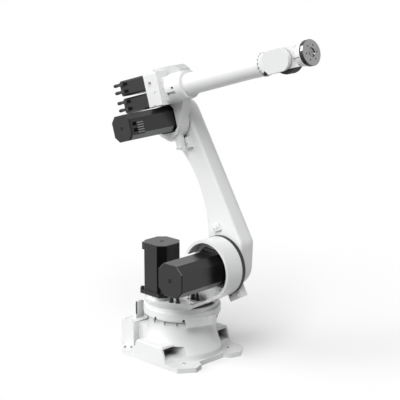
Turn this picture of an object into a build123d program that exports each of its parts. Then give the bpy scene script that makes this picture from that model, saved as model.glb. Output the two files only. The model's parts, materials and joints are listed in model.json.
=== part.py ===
"""Six-axis industrial robot arm on a cast base, standing in its rest pose.

Millimetres, +Z up, +X forward along the arm, origin on the floor under the
turning axis of the turret. The shoulder and elbow motors stand on the -Y side,
the lower arm runs on the +Y side.
"""

import os
from math import acos, atan2, cos, radians, sin, sqrt

from build123d import *

os.makedirs("parts", exist_ok=True)

# Axes of the arm
SHOULDER_X = 220.0
SHOULDER_Z = 541.0
LOWER_ARM_LENGTH = 858.0
LOWER_ARM_LEAN = 25.5
FOREARM_OFFSET = 157.0
FOREARM_PITCH = 17.4
FOREARM_LENGTH = 1000.0
WRIST_LENGTH = 160.0

# Clearances
JOINT_GAP = 0.3
MOVING_GAP = 6.0
FIT_GAP = 1.5

# Base casting
FOOT_OUTER_X = 221.0
FOOT_OUTER_Y = 264.0
FOOT_TOE_X = 284.0
FOOT_TOE_Y = 178.0
FOOT_HEEL_X = 264.0
FOOT_HEEL_Y = 116.0
WAIST_X = 228.0
WAIST_Y = 100.0
FOOT_THICKNESS = 28.0
FOOT_ROUND = 12.0
FLOOR_BOLT_X = 190.0
FLOOR_BOLT_Y = 178.0
FLOOR_BOLT_HOLE = 22.0
PEDESTAL_FOOT_R = 226.0
PEDESTAL_FLARE_Z = 60.0
PEDESTAL_NECK_R = 188.0
PEDESTAL_NECK_HEIGHT = 36.0
PEDESTAL_TOP = 236.0
WING_INNER_Y = 108.0
WING_FOOT_X = 141.0
WING_TOP_X = 98.0
WING_TOP = 118.0
WING_LEAN = 2.0
WING_ROUND = 6.0
POCKET_INNER_Y = 137.0
POCKET_WALL = 12.0
POCKET_FLOOR = 50.0
POCKET_ROOF = 106.0
REAR_NECK_TOP = 162.0

# Connector box behind the base
BOX_FRONT_X = -212.0
BOX_LENGTH = 100.0
BOX_HALF_WIDTH = 177.0
BOX_TOP = 170.0
BOX_ROUND = 8.0
PANEL_WIDTH = 250.0
PANEL_HEIGHT = 92.0
PANEL_THICKNESS = 4.0
SOCKET_WIDTH = 92.0
SOCKET_HEIGHT = 42.0
SOCKET_DEPTH = 26.0
SOCKET_WALL = 5.0
SOCKET_SPACING = 116.0
DUCT_X = -258.0
DUCT_Y = -88.0
DUCT_WIDTH = 62.0
DUCT_THICKNESS = 16.0
DUCT_HEIGHT = 100.0

# Turret
RING_R = 217.0
RING_HEIGHT = 73.0
RING_STEP_R = 203.0
RING_STEP_HEIGHT = 24.0
RING_ROUND = 16.0
AXIS_1_GEARBOX_R = 165.0
AXIS_1_GEARBOX_HEIGHT = 9.0
STOP_R = 236.0
STOP_LUG_R = 248.0
STOP_START = -40.0
STOP_SWEEP = 34.0
STOP_LUG_SWEEP = 11.0
STOP_DROP = 19.0
STOP_HEIGHT = 46.0
DRUM_R = 166.0
DRUM_NEAR_Y = -37.0
DRUM_WALL_Y = 40.0
DRUM_FAR_Y = 78.0
DRUM_RIM = 16.0
DRUM_OPEN_RISE = 62.0
UPRIGHT_REAR_X = 20.0
UPRIGHT_FRONT_X = 165.0
TONGUE_REACH = 66.0
TONGUE_RISE = 44.0
AXIS_2_GEARBOX_R = 168.0

# Large motors
AXIS_1_MOTOR_X = -121.0
AXIS_1_MOTOR_Y = -37.0
AXIS_1_MOTOR_TOP = 637.0
AXIS_1_BOSS_R = 99.0
AXIS_1_BOSS_HEIGHT = 23.0
BIG_MOTOR_SIZE = 180.0
BIG_MOTOR_CORNER = 40.0
BIG_FLANGE_SIZE = 200.0
BIG_FLANGE_CORNER = 26.0
BIG_FLANGE_THICKNESS = 22.0
MOTOR_EDGE = 3.0
AXIS_2_MOTOR_END_Y = -314.0
AXIS_3_MOTOR_END_Y = -306.0
AXIS_3_MOTOR_SIZE = 142.0
AXIS_3_MOTOR_CORNER = 30.0
AXIS_3_FLANGE_SIZE = 150.0
AXIS_3_FLANGE_CORNER = 26.0
AXIS_3_FLANGE_THICKNESS = 18.0
PLUG_WIDTH = 30.0
PLUG_HEIGHT = 42.0
PLUG_DEPTH = 22.0
PLUG_DROP = 32.0

# Hose couplings on the turret deck
BRACKET_X = 84.0
BRACKET_Y = -30.0
BRACKET_WIDTH = 22.0
BRACKET_THICKNESS = 8.0
BRACKET_HEIGHT = 40.0
COUPLING_R = 10.0
COUPLING_HEIGHT = 32.0
COUPLING_CAP_R = 7.0
COUPLING_CAP_HEIGHT = 12.0
COUPLING_SPOTS = [(84.0, 2.0), (116.0, 2.0), (40.0, -74.0), (4.0, -88.0)]

# Lower arm
ARM_NEAR_Y = 100.0
ARM_THICKNESS = 132.0
ARM_LOWER_R = 131.0
ARM_BELLY_X = 110.0
ARM_BELLY_Z = 85.0
ARM_BELLY_R = 74.0
ARM_UPPER_R = 115.0
ARM_UPPER_X = -7.0
ARM_WAIST_DEPTH = 137.0
ARM_FAR_ROUND = 62.0
ARM_NEAR_ROUND = 16.0
CAP_R = 68.0
CAP_THICKNESS = 14.0
CAP_RECESS = 8.0
LUG_X = 52.0
LUG_Z = 205.0
LUG_WIDTH = 50.0
LUG_HEIGHT = 42.0
LUG_DEPTH = 12.0
ARM_STOP_IN_R = 128.0
ARM_STOP_OUT_R = 204.0
ARM_STOP_WIDTH = 96.0
ARM_STOP_ANGLE = -86.0
ARM_STOP_DEPTH = 48.0
ELBOW_BUMPER_X = 40.0
ELBOW_BUMPER_DROP = 158.0
ELBOW_BUMPER_WIDTH = 58.0
ELBOW_BUMPER_HEIGHT = 62.0
ELBOW_BUMPER_DEPTH = 24.0

# Elbow
BOSS_R = 120.0
BOSS_RIM_R = 109.0
BOSS_NEAR_Y = 40.0
BOSS_FAR_Y = 92.0
BOSS_OPEN_X = -30.0
BOSS_OPEN_Z = -62.0
CHIN_X = 5.0
CHIN_Z = -45.0
CHIN_R = 81.0
CHIN_FAR_Y = 64.0
AXIS_3_GEARBOX_R = 112.0
WEB_NEAR_Y = 28.0
WEB_FRONT_X = 162.0
SLOT_LENGTH = 74.0
SLOT_HEIGHT = 15.0
SLOT_DEPTH = 24.0
SLOT_DROP = 28.0
STOP_LUG_X = 24.0
STOP_LUG_WIDTH = 42.0
STOP_LUG_FAR_Y = 70.0
STOP_LUG_REACH = 192.0
STOP_LUG_SLANT = 26.0
GEAR_CASE_REAR_X = 20.0
GEAR_CASE_LENGTH = 105.0
GEAR_CASE_HALF_WIDTH = 90.0
GEAR_CASE_HEIGHT = 186.0
GEAR_CASE_ROUND = 7.0
TOP_COVER_INSET = 4.0
TOP_COVER_LENGTH = 212.0
TOP_COVER_HEIGHT = 18.0
TOP_COVER_SLOPE = 36.0
TOP_COVER_NEAR_Y = -12.0
TOP_COVER_FAR_Y = 60.0
THROAT_HALF_WIDTH = 62.0
THROAT_HALF_HEIGHT = 72.0
THROAT_ROUND = 24.0
BARREL_X = 152.0
ROOT_R = 80.0
ROOT_X = 260.0
WRIST_MOTOR_SIZE = 86.0
WRIST_MOTOR_CORNER = 9.0
WRIST_MOTOR_LENGTH = 204.0
WRIST_MOTOR_PITCH = 98.0
WRIST_MOTOR_Y = 44.5
WRIST_PLUG_R = 8.5
WRIST_PLUG_BLOCK = 40.0
WRIST_PLUG_INSET = 6.0
WRIST_PLUG_OVERHANG = 32.0
WRIST_PLUG_RISE = 23.0
WRIST_PLUG_DROP = 18.0

# Forearm
COLLAR_R = 79.0
COLLAR_LENGTH = 12.0
COLLAR_ROUND = 3.0
TUBE_ROOT_R = 61.0
TUBE_TIP_R = 57.0
NOSE_R = 58.5
NOSE_LENGTH = 66.0
END_FLANGE_R = 63.0
END_FLANGE_LENGTH = 16.0

# Wrist
WRIST_REAR = 160.7
WRIST_HALF_HEIGHT = 58.0
WRIST_HALF_WIDTH = 60.0
WRIST_ROUND = 22.0
WRIST_BLEND = 38.0
FORK_SLOT_R = 122.0
HUB_HALF_WIDTH = 38.0
HUB_R = 58.0
HUB_FLAT = 54.0
BEARING_R = 36.0
COVER_THICKNESS = 8.0
COVER_R = 60.0
COVER_REACH = 118.0
COVER_CORNER = 26.0
PORT_BACK = 119.0
PORT_R = 11.0
PORT_TILT = 32.0
PORT_SINK = 4.0
PORT_LENGTH = 10.0
PORT_COLLAR_R = 8.5
PORT_COLLAR_LENGTH = 6.0
GUARD_R = 77.0
GUARD_HALF_WIDTH = 30.0
NECK_START = 72.0
NECK_END = 92.0
NECK_R = 44.0
HOUSING_START = 100.0
HOUSING_R = 60.0
HOUSING_EDGE = 5.0

# Tool flange
FLANGE_R = 67.5
FLANGE_THICKNESS = 24.0
FLANGE_EDGE = 2.0
PILOT_R = 25.0
PILOT_DEPTH = 6.0
TOOL_BOLT_CIRCLE = 80.0
TOOL_BOLT_COUNT = 6
TOOL_BOLT_HOLE = 8.0
TOOL_BOLT_DEPTH = 14.0

# Levels and places worked out from the sizes above
RING_BOTTOM = PEDESTAL_TOP + AXIS_1_GEARBOX_HEIGHT
RING_TOP = RING_BOTTOM + RING_HEIGHT
DECK_TOP = RING_TOP + DRUM_RIM
BOSS_TOP = RING_TOP + AXIS_1_BOSS_HEIGHT
FLANGE_1_TOP = BOSS_TOP + BIG_FLANGE_THICKNESS
ARM_FAR_Y = ARM_NEAR_Y + ARM_THICKNESS
GEAR_CASE_BOTTOM = AXIS_3_MOTOR_SIZE / 2 + MOVING_GAP
GEAR_CASE_TOP = GEAR_CASE_BOTTOM + GEAR_CASE_HEIGHT
GEAR_CASE_MID = (GEAR_CASE_BOTTOM + GEAR_CASE_TOP) / 2
GEAR_CASE_FRONT_X = GEAR_CASE_REAR_X + GEAR_CASE_LENGTH
COLLAR_X = ROOT_X + JOINT_GAP
TUBE_X = COLLAR_X + COLLAR_LENGTH
WRIST_X = FOREARM_LENGTH - WRIST_REAR
END_FLANGE_X = WRIST_X - END_FLANGE_LENGTH
NOSE_X = END_FLANGE_X - NOSE_LENGTH
FLANGE_REAR = WRIST_LENGTH - FLANGE_THICKNESS
LEAN = radians(LOWER_ARM_LEAN)
ELBOW_X = SHOULDER_X - LOWER_ARM_LENGTH * sin(LEAN)
ELBOW_Z = SHOULDER_Z + LOWER_ARM_LENGTH * cos(LEAN)

# Frames: the lower arm stands along its local Z, the forearm lies along its local X
SHOULDER = Location((SHOULDER_X, 0, SHOULDER_Z), (0, -LOWER_ARM_LEAN, 0))
ELBOW = Location((ELBOW_X, 0, ELBOW_Z), (0, -FOREARM_PITCH, 0))
FOREARM = ELBOW * Pos(0, 0, FOREARM_OFFSET)
WRIST = FOREARM * Pos(FOREARM_LENGTH, 0, 0)


def save(name, shape):
    """Write one piece as its own file."""
    export_step(shape, f"parts/{name}.step")


def across(profile, near, far):
    """Extrude a profile drawn in X and Z from y = near to y = far."""
    return extrude(Plane.XZ.offset(-far) * profile, far - near)


def disc(radius, near, far, at=(0, 0)):
    """Make a round disc about an axis along Y."""
    return across(Pos(*at) * Circle(radius), near, far)


def slab(x_range, y_range, z_range):
    """Make a box between two levels on each axis."""
    size = [high - low for low, high in (x_range, y_range, z_range)]
    middle = [(high + low) / 2 for low, high in (x_range, y_range, z_range)]
    return Pos(*middle) * Box(*size)


def turned(points):
    """Revolve a half outline, given as distance along X and radius, about X."""
    return revolve(make_face(Polyline(*points, close=True)), Axis.X)


def motor_outline(size, corner):
    """Draw a square motor frame with its corners cut off."""
    return chamfer(Rectangle(size, size).vertices(), corner)


def base_casting():
    """Cast base: four feet, flared pedestal and two fork pockets."""
    quarter = [
        (WAIST_X, WAIST_Y),
        (FOOT_HEEL_X, FOOT_HEEL_Y),
        (FOOT_TOE_X, FOOT_TOE_Y),
        (FOOT_OUTER_X, FOOT_OUTER_Y),
    ]
    left = quarter + [(-x, y) for x, y in reversed(quarter)]
    outline = left + [(x, -y) for x, y in reversed(left)]
    plate = extrude(Polygon(*outline, align=None), FOOT_THICKNESS)
    plate = fillet(plate.edges().filter_by(Axis.Z), FOOT_ROUND)

    neck_bottom = PEDESTAL_TOP - PEDESTAL_NECK_HEIGHT
    neck = Line((PEDESTAL_NECK_R, PEDESTAL_TOP), (PEDESTAL_NECK_R, neck_bottom))
    flare = TangentArc(neck @ 1, (PEDESTAL_FOOT_R, PEDESTAL_FLARE_Z), tangent=(0, -1))
    rest = Polyline(flare @ 1, (PEDESTAL_FOOT_R, 0), (0, 0), (0, PEDESTAL_TOP), neck @ 0)
    pedestal = revolve(Plane.XZ * make_face(neck + flare + rest), Axis.Z)

    wing_top_y = FOOT_OUTER_Y - WING_LEAN
    foot = Rectangle(2 * WING_FOOT_X, FOOT_OUTER_Y - WING_INNER_Y)
    roof = Rectangle(2 * WING_TOP_X, wing_top_y - WING_INNER_Y)
    foot_y, roof_y = (FOOT_OUTER_Y + WING_INNER_Y) / 2, (wing_top_y + WING_INNER_Y) / 2
    wing = loft([Pos(0, foot_y) * foot, Pos(0, roof_y, WING_TOP) * roof])
    wing = fillet(wing.edges().group_by(Axis.Z)[-1].sort_by(Axis.Y)[1:], WING_ROUND)
    rear_neck = slab((BOX_FRONT_X, 0), (-POCKET_INNER_Y, POCKET_INNER_Y), (0, REAR_NECK_TOP))

    body = plate + pedestal + wing + mirror(wing, Plane.XZ) + rear_neck
    reach = (-FOOT_TOE_X, FOOT_TOE_X)
    pocket = slab(reach, (POCKET_INNER_Y, FOOT_OUTER_Y - POCKET_WALL), (POCKET_FLOOR, POCKET_ROOF))
    body -= pocket + mirror(pocket, Plane.XZ)
    body -= box_block()
    spots = GridLocations(2 * FLOOR_BOLT_X, 2 * FLOOR_BOLT_Y, 2, 2)
    return body - spots * Cylinder(FLOOR_BOLT_HOLE / 2, 4 * FOOT_THICKNESS)


def box_block():
    """Plain block of the connector box."""
    span = (BOX_FRONT_X - BOX_LENGTH, BOX_FRONT_X)
    return slab(span, (-BOX_HALF_WIDTH, BOX_HALF_WIDTH), (FOOT_THICKNESS, BOX_TOP))


def connector_box():
    """Box behind the base that takes the cable connectors."""
    rear = box_block().faces().sort_by(Axis.X)[0]
    return fillet(rear.edges(), BOX_ROUND)


def connector_panel():
    """Plate on the rear of the box with two hooded sockets."""
    rear = BOX_FRONT_X - BOX_LENGTH
    middle = (FOOT_THICKNESS + BOX_TOP) / 2
    face = Plane((rear, 0, middle), x_dir=(0, 1, 0), z_dir=(-1, 0, 0))
    plate = extrude(face * RectangleRounded(PANEL_WIDTH, PANEL_HEIGHT, BOX_ROUND), PANEL_THICKNESS)
    hood = Rectangle(SOCKET_WIDTH, SOCKET_HEIGHT) - Rectangle(SOCKET_WIDTH - 2 * SOCKET_WALL,
                                                              SOCKET_HEIGHT - 2 * SOCKET_WALL)
    for place in GridLocations(SOCKET_SPACING, 0, 2, 1):
        plate += extrude(face * place * hood, SOCKET_DEPTH)
    return plate


def cable_duct():
    """Upright duct on the box that leads the cables up behind the turret."""
    size = (DUCT_X - DUCT_THICKNESS / 2, DUCT_X + DUCT_THICKNESS / 2)
    width = (DUCT_Y - DUCT_WIDTH / 2, DUCT_Y + DUCT_WIDTH / 2)
    duct = slab(size, width, (BOX_TOP, BOX_TOP + DUCT_HEIGHT))
    return fillet(duct.edges().filter_by(Axis.X).group_by(Axis.Z)[-1], DUCT_THICKNESS)


def turret_ring():
    """Turning ring with the stop skirt and the seat of its motor."""
    step = RING_TOP - RING_STEP_HEIGHT
    profile = Polyline(
        (0, RING_BOTTOM),
        (RING_R, RING_BOTTOM),
        (RING_R, step),
        (RING_STEP_R, step + FIT_GAP),
        (RING_STEP_R, RING_TOP),
        (0, RING_TOP),
        close=True,
    )
    ring = revolve(Plane.XZ * make_face(profile), Axis.Z)
    lower_edge = ring.edges().filter_by(GeomType.CIRCLE).group_by(Axis.Z)[0]
    ring = fillet(lower_edge, RING_ROUND)
    bottom = RING_BOTTOM - STOP_DROP
    inner = PEDESTAL_NECK_R + MOVING_GAP
    skirt = stop_sector(inner, STOP_R, bottom, STOP_START, STOP_SWEEP)
    lug = stop_sector(inner, STOP_LUG_R, bottom, STOP_START + STOP_SWEEP, STOP_LUG_SWEEP)
    boss = Pos(AXIS_1_MOTOR_X, AXIS_1_MOTOR_Y, RING_TOP) * Cylinder(
        AXIS_1_BOSS_R, AXIS_1_BOSS_HEIGHT, align=(Align.CENTER, Align.CENTER, Align.MIN))
    return ring + skirt + lug + boss


def stop_sector(inner, outer, bottom, start, sweep):
    """Make one curved stop block that hangs under the ring's rim."""
    section = Pos((inner + outer) / 2, bottom + STOP_HEIGHT / 2) * Rectangle(outer - inner, STOP_HEIGHT)
    return Rot(0, 0, start) * revolve(Plane.XZ * section, Axis.Z, sweep)


def turret_upright():
    """Upright with the shoulder drum, open in front round the motor."""
    round_top = Pos(SHOULDER_X, SHOULDER_Z) * Circle(DRUM_R)
    deck = Line((UPRIGHT_REAR_X, RING_TOP), (UPRIGHT_FRONT_X, RING_TOP))
    outline = make_hull(round_top.edges() + deck.edges())
    body = across(outline, DRUM_NEAR_Y, DRUM_FAR_Y)
    hollow = offset(outline, -DRUM_RIM, kind=Kind.INTERSECTION)
    body -= across(hollow, DRUM_NEAR_Y, DRUM_WALL_Y)
    opening = slab(
        (UPRIGHT_REAR_X - DRUM_R, SHOULDER_X),
        (DRUM_NEAR_Y, DRUM_WALL_Y),
        (DECK_TOP, SHOULDER_Z + DRUM_OPEN_RISE),
    )
    tongue = across(outline - hollow, DRUM_NEAR_Y - TONGUE_REACH, DRUM_NEAR_Y)
    return body - opening + (tongue & tongue_wedge())


def tongue_wedge():
    """Wedge that trims the front rim of the upright where it runs out on the ring."""
    corner = (DRUM_NEAR_Y, RING_TOP)
    tip = (DRUM_NEAR_Y - TONGUE_REACH, RING_TOP)
    side = Plane.YZ * make_face(Polyline(corner, (DRUM_NEAR_Y, RING_TOP + TONGUE_RISE), tip, close=True))
    return Pos(UPRIGHT_FRONT_X - 2 * DRUM_RIM, 0, 0) * extrude(side, DRUM_R)


def axis_1_motor_flange():
    """Square plate that bolts the turret motor to its seat."""
    outline = motor_outline(BIG_FLANGE_SIZE, BIG_FLANGE_CORNER)
    return extrude(Pos(AXIS_1_MOTOR_X, AXIS_1_MOTOR_Y, BOSS_TOP) * outline, BIG_FLANGE_THICKNESS)


def axis_1_motor():
    """Upright turret motor."""
    outline = motor_outline(BIG_MOTOR_SIZE, BIG_MOTOR_CORNER)
    place = Pos(AXIS_1_MOTOR_X, AXIS_1_MOTOR_Y, FLANGE_1_TOP)
    body = extrude(place * outline, AXIS_1_MOTOR_TOP - FLANGE_1_TOP)
    return chamfer(body.faces().sort_by(Axis.Z)[-1].edges(), MOTOR_EDGE)


def axis_1_motor_plug():
    """Cable plug on the rear of the turret motor."""
    face = AXIS_1_MOTOR_X - BIG_MOTOR_SIZE / 2
    top = AXIS_1_MOTOR_TOP - PLUG_DROP / 2
    middle = AXIS_1_MOTOR_Y - BIG_MOTOR_SIZE / 2 + BIG_MOTOR_CORNER + PLUG_WIDTH / 2
    width = (middle - PLUG_WIDTH / 2, middle + PLUG_WIDTH / 2)
    plug = slab((face - PLUG_DEPTH, face), width, (top - PLUG_HEIGHT, top))
    return chamfer(plug.faces().sort_by(Axis.X)[0].edges(), MOTOR_EDGE)


def axis_2_motor_flange():
    """Square plate of the shoulder motor inside the drum."""
    outline = Pos(SHOULDER_X, SHOULDER_Z) * motor_outline(BIG_FLANGE_SIZE, BIG_FLANGE_CORNER)
    return across(outline, DRUM_WALL_Y - BIG_FLANGE_THICKNESS, DRUM_WALL_Y)


def axis_2_motor():
    """Shoulder motor lying across the turret."""
    outline = Pos(SHOULDER_X, SHOULDER_Z) * motor_outline(BIG_MOTOR_SIZE, BIG_MOTOR_CORNER)
    body = across(outline, AXIS_2_MOTOR_END_Y, DRUM_WALL_Y - BIG_FLANGE_THICKNESS)
    return chamfer(body.faces().sort_by(Axis.Y)[0].edges(), MOTOR_EDGE)


def hose_bracket():
    """Small upright plate that holds the hose couplings on the deck."""
    width = (BRACKET_X - BRACKET_WIDTH / 2, BRACKET_X + BRACKET_WIDTH / 2)
    depth = (BRACKET_Y - BRACKET_THICKNESS / 2, BRACKET_Y + BRACKET_THICKNESS / 2)
    low = DECK_TOP
    return slab(width, depth, (low, low + BRACKET_HEIGHT))


def polar(centre, radius, angle):
    """Return the point at a radius and an angle in radians from a centre."""
    return (centre[0] + radius * cos(angle), centre[1] + radius * sin(angle))


def front_tangent(low, low_r, high, high_r):
    """Draw the line that touches two circles on their front side, going up."""
    rise = atan2(high[1] - low[1], high[0] - low[0])
    span = sqrt((high[0] - low[0]) ** 2 + (high[1] - low[1]) ** 2)
    angle = rise - acos((low_r - high_r) / span)
    return Line(polar(low, low_r, angle), polar(high, high_r, angle))


def arm_outline():
    """Draw the lower arm: two round ends, a belly in front of the lower one, hollow rear."""
    low, belly, high = (0, 0), (ARM_BELLY_X, ARM_BELLY_Z), (ARM_UPPER_X, LOWER_ARM_LENGTH)
    span = sqrt(high[0] ** 2 + high[1] ** 2)
    rise = atan2(high[1], high[0])
    waist = (span ** 2 / 4 + ARM_WAIST_DEPTH ** 2) / (2 * ARM_WAIST_DEPTH) - (ARM_LOWER_R + ARM_UPPER_R) / 2
    reach_low, reach_high = waist + ARM_LOWER_R, waist + ARM_UPPER_R
    rear_low = rise + acos((reach_low ** 2 + span ** 2 - reach_high ** 2) / (2 * reach_low * span))
    middle = polar(low, reach_low, rear_low)
    rear_high = atan2(middle[1] - high[1], middle[0] - high[0])
    touch_low = polar(low, ARM_LOWER_R, rear_low)
    touch_high = polar(high, ARM_UPPER_R, rear_high)
    shin = front_tangent(low, ARM_LOWER_R, belly, ARM_BELLY_R)
    face = front_tangent(belly, ARM_BELLY_R, high, ARM_UPPER_R)
    bulge = ThreePointArc(shin @ 1, polar(belly, ARM_BELLY_R, 0), face @ 0)
    top = ThreePointArc(face @ 1, polar(high, ARM_UPPER_R, rise), touch_high)
    hollow = ThreePointArc(touch_high, (middle[0] + waist, middle[1]), touch_low)
    bottom = ThreePointArc(touch_low, polar(low, -ARM_LOWER_R, rise), shin @ 0)
    return make_face(shin + bulge + face + top + hollow + bottom)


def lower_arm_casting():
    """Curved lower arm with rounded edges and a recess at each end."""
    body = across(arm_outline(), ARM_NEAR_Y, ARM_FAR_Y)
    body = fillet(body.faces().sort_by(Axis.Y)[-1].edges(), ARM_FAR_ROUND)
    body = fillet(body.faces().sort_by(Axis.Y)[0].edges(), ARM_NEAR_ROUND)
    for height in (0, LOWER_ARM_LENGTH):
        body -= disc(CAP_R + FIT_GAP, ARM_FAR_Y - CAP_RECESS, ARM_FAR_Y, (0, height))
    return SHOULDER * body


def arm_cap(height):
    """Round cap over the gearbox bolts on the outer face of the lower arm."""
    seat = ARM_FAR_Y - CAP_RECESS
    cap = disc(CAP_R, seat, seat + CAP_THICKNESS, (0, height))
    return SHOULDER * chamfer(cap.faces().sort_by(Axis.Y)[-1].edges(), MOTOR_EDGE)


def arm_lug():
    """Square lug on the inner face of the lower arm."""
    width = (LUG_X - LUG_WIDTH / 2, LUG_X + LUG_WIDTH / 2)
    height = (LUG_Z - LUG_HEIGHT / 2, LUG_Z + LUG_HEIGHT / 2)
    lug = slab(width, (ARM_NEAR_Y - LUG_DEPTH, ARM_NEAR_Y), height)
    return SHOULDER * chamfer(lug.faces().sort_by(Axis.Y)[0].edges(), MOTOR_EDGE)


def arm_stop():
    """Stop lug that hangs under the round lower end of the arm."""
    length = ARM_STOP_OUT_R - ARM_STOP_IN_R
    block = Pos(ARM_STOP_IN_R + length / 2, 0) * Rectangle(length, ARM_STOP_WIDTH)
    outline = Rot(0, 0, ARM_STOP_ANGLE) * block
    round_end = Circle(ARM_LOWER_R + JOINT_GAP)
    return SHOULDER * across(outline - round_end, ARM_NEAR_Y, ARM_NEAR_Y + ARM_STOP_DEPTH)


def elbow_bumper():
    """Bumper block on the inner face of the lower arm below the elbow."""
    width = (ELBOW_BUMPER_X - ELBOW_BUMPER_WIDTH / 2, ELBOW_BUMPER_X + ELBOW_BUMPER_WIDTH / 2)
    middle = LOWER_ARM_LENGTH - ELBOW_BUMPER_DROP
    height = (middle - ELBOW_BUMPER_HEIGHT / 2, middle + ELBOW_BUMPER_HEIGHT / 2)
    block = slab(width, (ARM_NEAR_Y - ELBOW_BUMPER_DEPTH, ARM_NEAR_Y), height)
    return SHOULDER * chamfer(block.faces().sort_by(Axis.Y)[0].edges(), MOTOR_EDGE)


def elbow_boss(gap=0):
    """Tapered boss round the elbow joint with the chin below its motor, or the same grown by a gap."""
    rim = Plane.XZ.offset(-BOSS_NEAR_Y) * Circle(BOSS_RIM_R + gap)
    boss = loft([rim, Plane.XZ.offset(-BOSS_FAR_Y) * Circle(BOSS_R + gap)])
    return boss + disc(CHIN_R + gap, BOSS_NEAR_Y, CHIN_FAR_Y, (CHIN_X, CHIN_Z))


def elbow_web():
    """Flat web that joins the boss of the elbow to the throat and the barrel."""
    neck = Pos((GEAR_CASE_REAR_X + WEB_FRONT_X) / 2, FOREARM_OFFSET) * Rectangle(
        WEB_FRONT_X - GEAR_CASE_REAR_X, 2 * ROOT_R)
    return across(make_hull(Circle(BOSS_RIM_R).edges() + neck.edges()), WEB_NEAR_Y, BOSS_FAR_Y)


def elbow_housing():
    """Throat that turns from square to round in front of the gear case, and the slotted barrel it carries."""
    section = Plane((GEAR_CASE_FRONT_X, 0, FOREARM_OFFSET), x_dir=(0, 1, 0), z_dir=(1, 0, 0))
    square = section * RectangleRounded(2 * THROAT_HALF_WIDTH, 2 * THROAT_HALF_HEIGHT, THROAT_ROUND)
    mouth = Plane((ROOT_X, 0, FOREARM_OFFSET), x_dir=(0, 1, 0), z_dir=(1, 0, 0))
    throat = loft([square, mouth * Circle(THROAT_HALF_HEIGHT)])
    barrel = extrude(mouth * Circle(ROOT_R), BARREL_X - ROOT_X)
    middle = FOREARM_OFFSET - SLOT_DROP
    slot = slab(
        (BARREL_X, BARREL_X + SLOT_LENGTH),
        (-ROOT_R, SLOT_DEPTH - ROOT_R),
        (middle - SLOT_HEIGHT / 2, middle + SLOT_HEIGHT / 2),
    )
    return throat + barrel - slot


def elbow_casting():
    """Elbow: tapered boss round the joint, web, throat and barrel."""
    seat = motor_outline(AXIS_3_FLANGE_SIZE + 2 * FIT_GAP, AXIS_3_FLANGE_CORNER)
    seat_depth = BOSS_NEAR_Y + AXIS_3_FLANGE_THICKNESS
    body = elbow_boss() + elbow_web() + elbow_housing()
    body -= across(seat, WEB_NEAR_Y, seat_depth)
    body -= slab((-BOSS_R, BOSS_OPEN_X), (WEB_NEAR_Y, seat_depth), (BOSS_OPEN_Z, GEAR_CASE_BOTTOM))
    behind = (-2 * BOSS_R, GEAR_CASE_REAR_X)
    body -= slab(behind, (WEB_NEAR_Y, BOSS_FAR_Y), (GEAR_CASE_BOTTOM, 2 * GEAR_CASE_TOP))
    return ELBOW * (body - gear_case_block())


def elbow_cover():
    """Cover that stands on the gear case, the throat and the barrel and slopes down to the front."""
    start, top = GEAR_CASE_REAR_X + TOP_COVER_INSET, GEAR_CASE_TOP + TOP_COVER_HEIGHT
    end = start + TOP_COVER_LENGTH
    outline = Polyline(
        (start, GEAR_CASE_MID),
        (start, top),
        (GEAR_CASE_FRONT_X, top),
        (end - TOP_COVER_SLOPE, top - TOP_COVER_HEIGHT / 3),
        (end, GEAR_CASE_TOP - TOP_COVER_HEIGHT),
        (end, GEAR_CASE_MID),
        close=True,
    )
    cover = across(make_face(outline), TOP_COVER_NEAR_Y, TOP_COVER_FAR_Y)
    return ELBOW * (cover - gear_case_block() - elbow_web() - elbow_housing())


def gear_case_block():
    """Plain block of the wrist gear case in the forearm's own frame."""
    return slab(
        (GEAR_CASE_REAR_X, GEAR_CASE_FRONT_X),
        (-GEAR_CASE_HALF_WIDTH, GEAR_CASE_HALF_WIDTH),
        (GEAR_CASE_BOTTOM, GEAR_CASE_TOP),
    )


def wrist_gear_case():
    """Gear case that carries the three wrist motors."""
    return ELBOW * fillet(gear_case_block().edges().filter_by(Axis.X), GEAR_CASE_ROUND)


def elbow_stop():
    """Stop lug under the boss of the elbow, with a slanted end."""
    near, far = STOP_LUG_X, STOP_LUG_X + STOP_LUG_WIDTH
    root = CHIN_Z - CHIN_R / 2
    slant = (near, STOP_LUG_SLANT - STOP_LUG_REACH)
    outline = Polygon((near, root), slant, (far, -STOP_LUG_REACH), (far, root), align=None)
    return ELBOW * (across(outline, BOSS_NEAR_Y, STOP_LUG_FAR_Y) - elbow_boss(JOINT_GAP))


def axis_3_motor_flange():
    """Square plate of the elbow motor inside the boss."""
    outline = motor_outline(AXIS_3_FLANGE_SIZE, AXIS_3_FLANGE_CORNER)
    return ELBOW * across(outline, BOSS_NEAR_Y, BOSS_NEAR_Y + AXIS_3_FLANGE_THICKNESS)


def axis_3_motor():
    """Elbow motor lying across the arm."""
    body = across(motor_outline(AXIS_3_MOTOR_SIZE, AXIS_3_MOTOR_CORNER), AXIS_3_MOTOR_END_Y, BOSS_NEAR_Y)
    return ELBOW * chamfer(body.faces().sort_by(Axis.Y)[0].edges(), MOTOR_EDGE)


def wrist_motor_spots():
    """List the centre of each wrist motor as Y and Z in the forearm's frame."""
    half = WRIST_MOTOR_PITCH / 2
    return {
        "axis_4_motor": (-WRIST_MOTOR_Y, GEAR_CASE_MID + half),
        "axis_5_motor": (-WRIST_MOTOR_Y, GEAR_CASE_MID - half),
        "axis_6_motor": (WRIST_MOTOR_Y, GEAR_CASE_MID + half),
    }


def wrist_motor(spot):
    """One wrist motor behind the gear case."""
    rear = GEAR_CASE_REAR_X - WRIST_MOTOR_LENGTH
    face = Plane((rear, *spot), x_dir=(0, 1, 0), z_dir=(1, 0, 0))
    body = extrude(face * motor_outline(WRIST_MOTOR_SIZE, WRIST_MOTOR_CORNER), WRIST_MOTOR_LENGTH)
    return ELBOW * chamfer(body.faces().sort_by(Axis.X)[0].edges(), MOTOR_EDGE)


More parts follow.
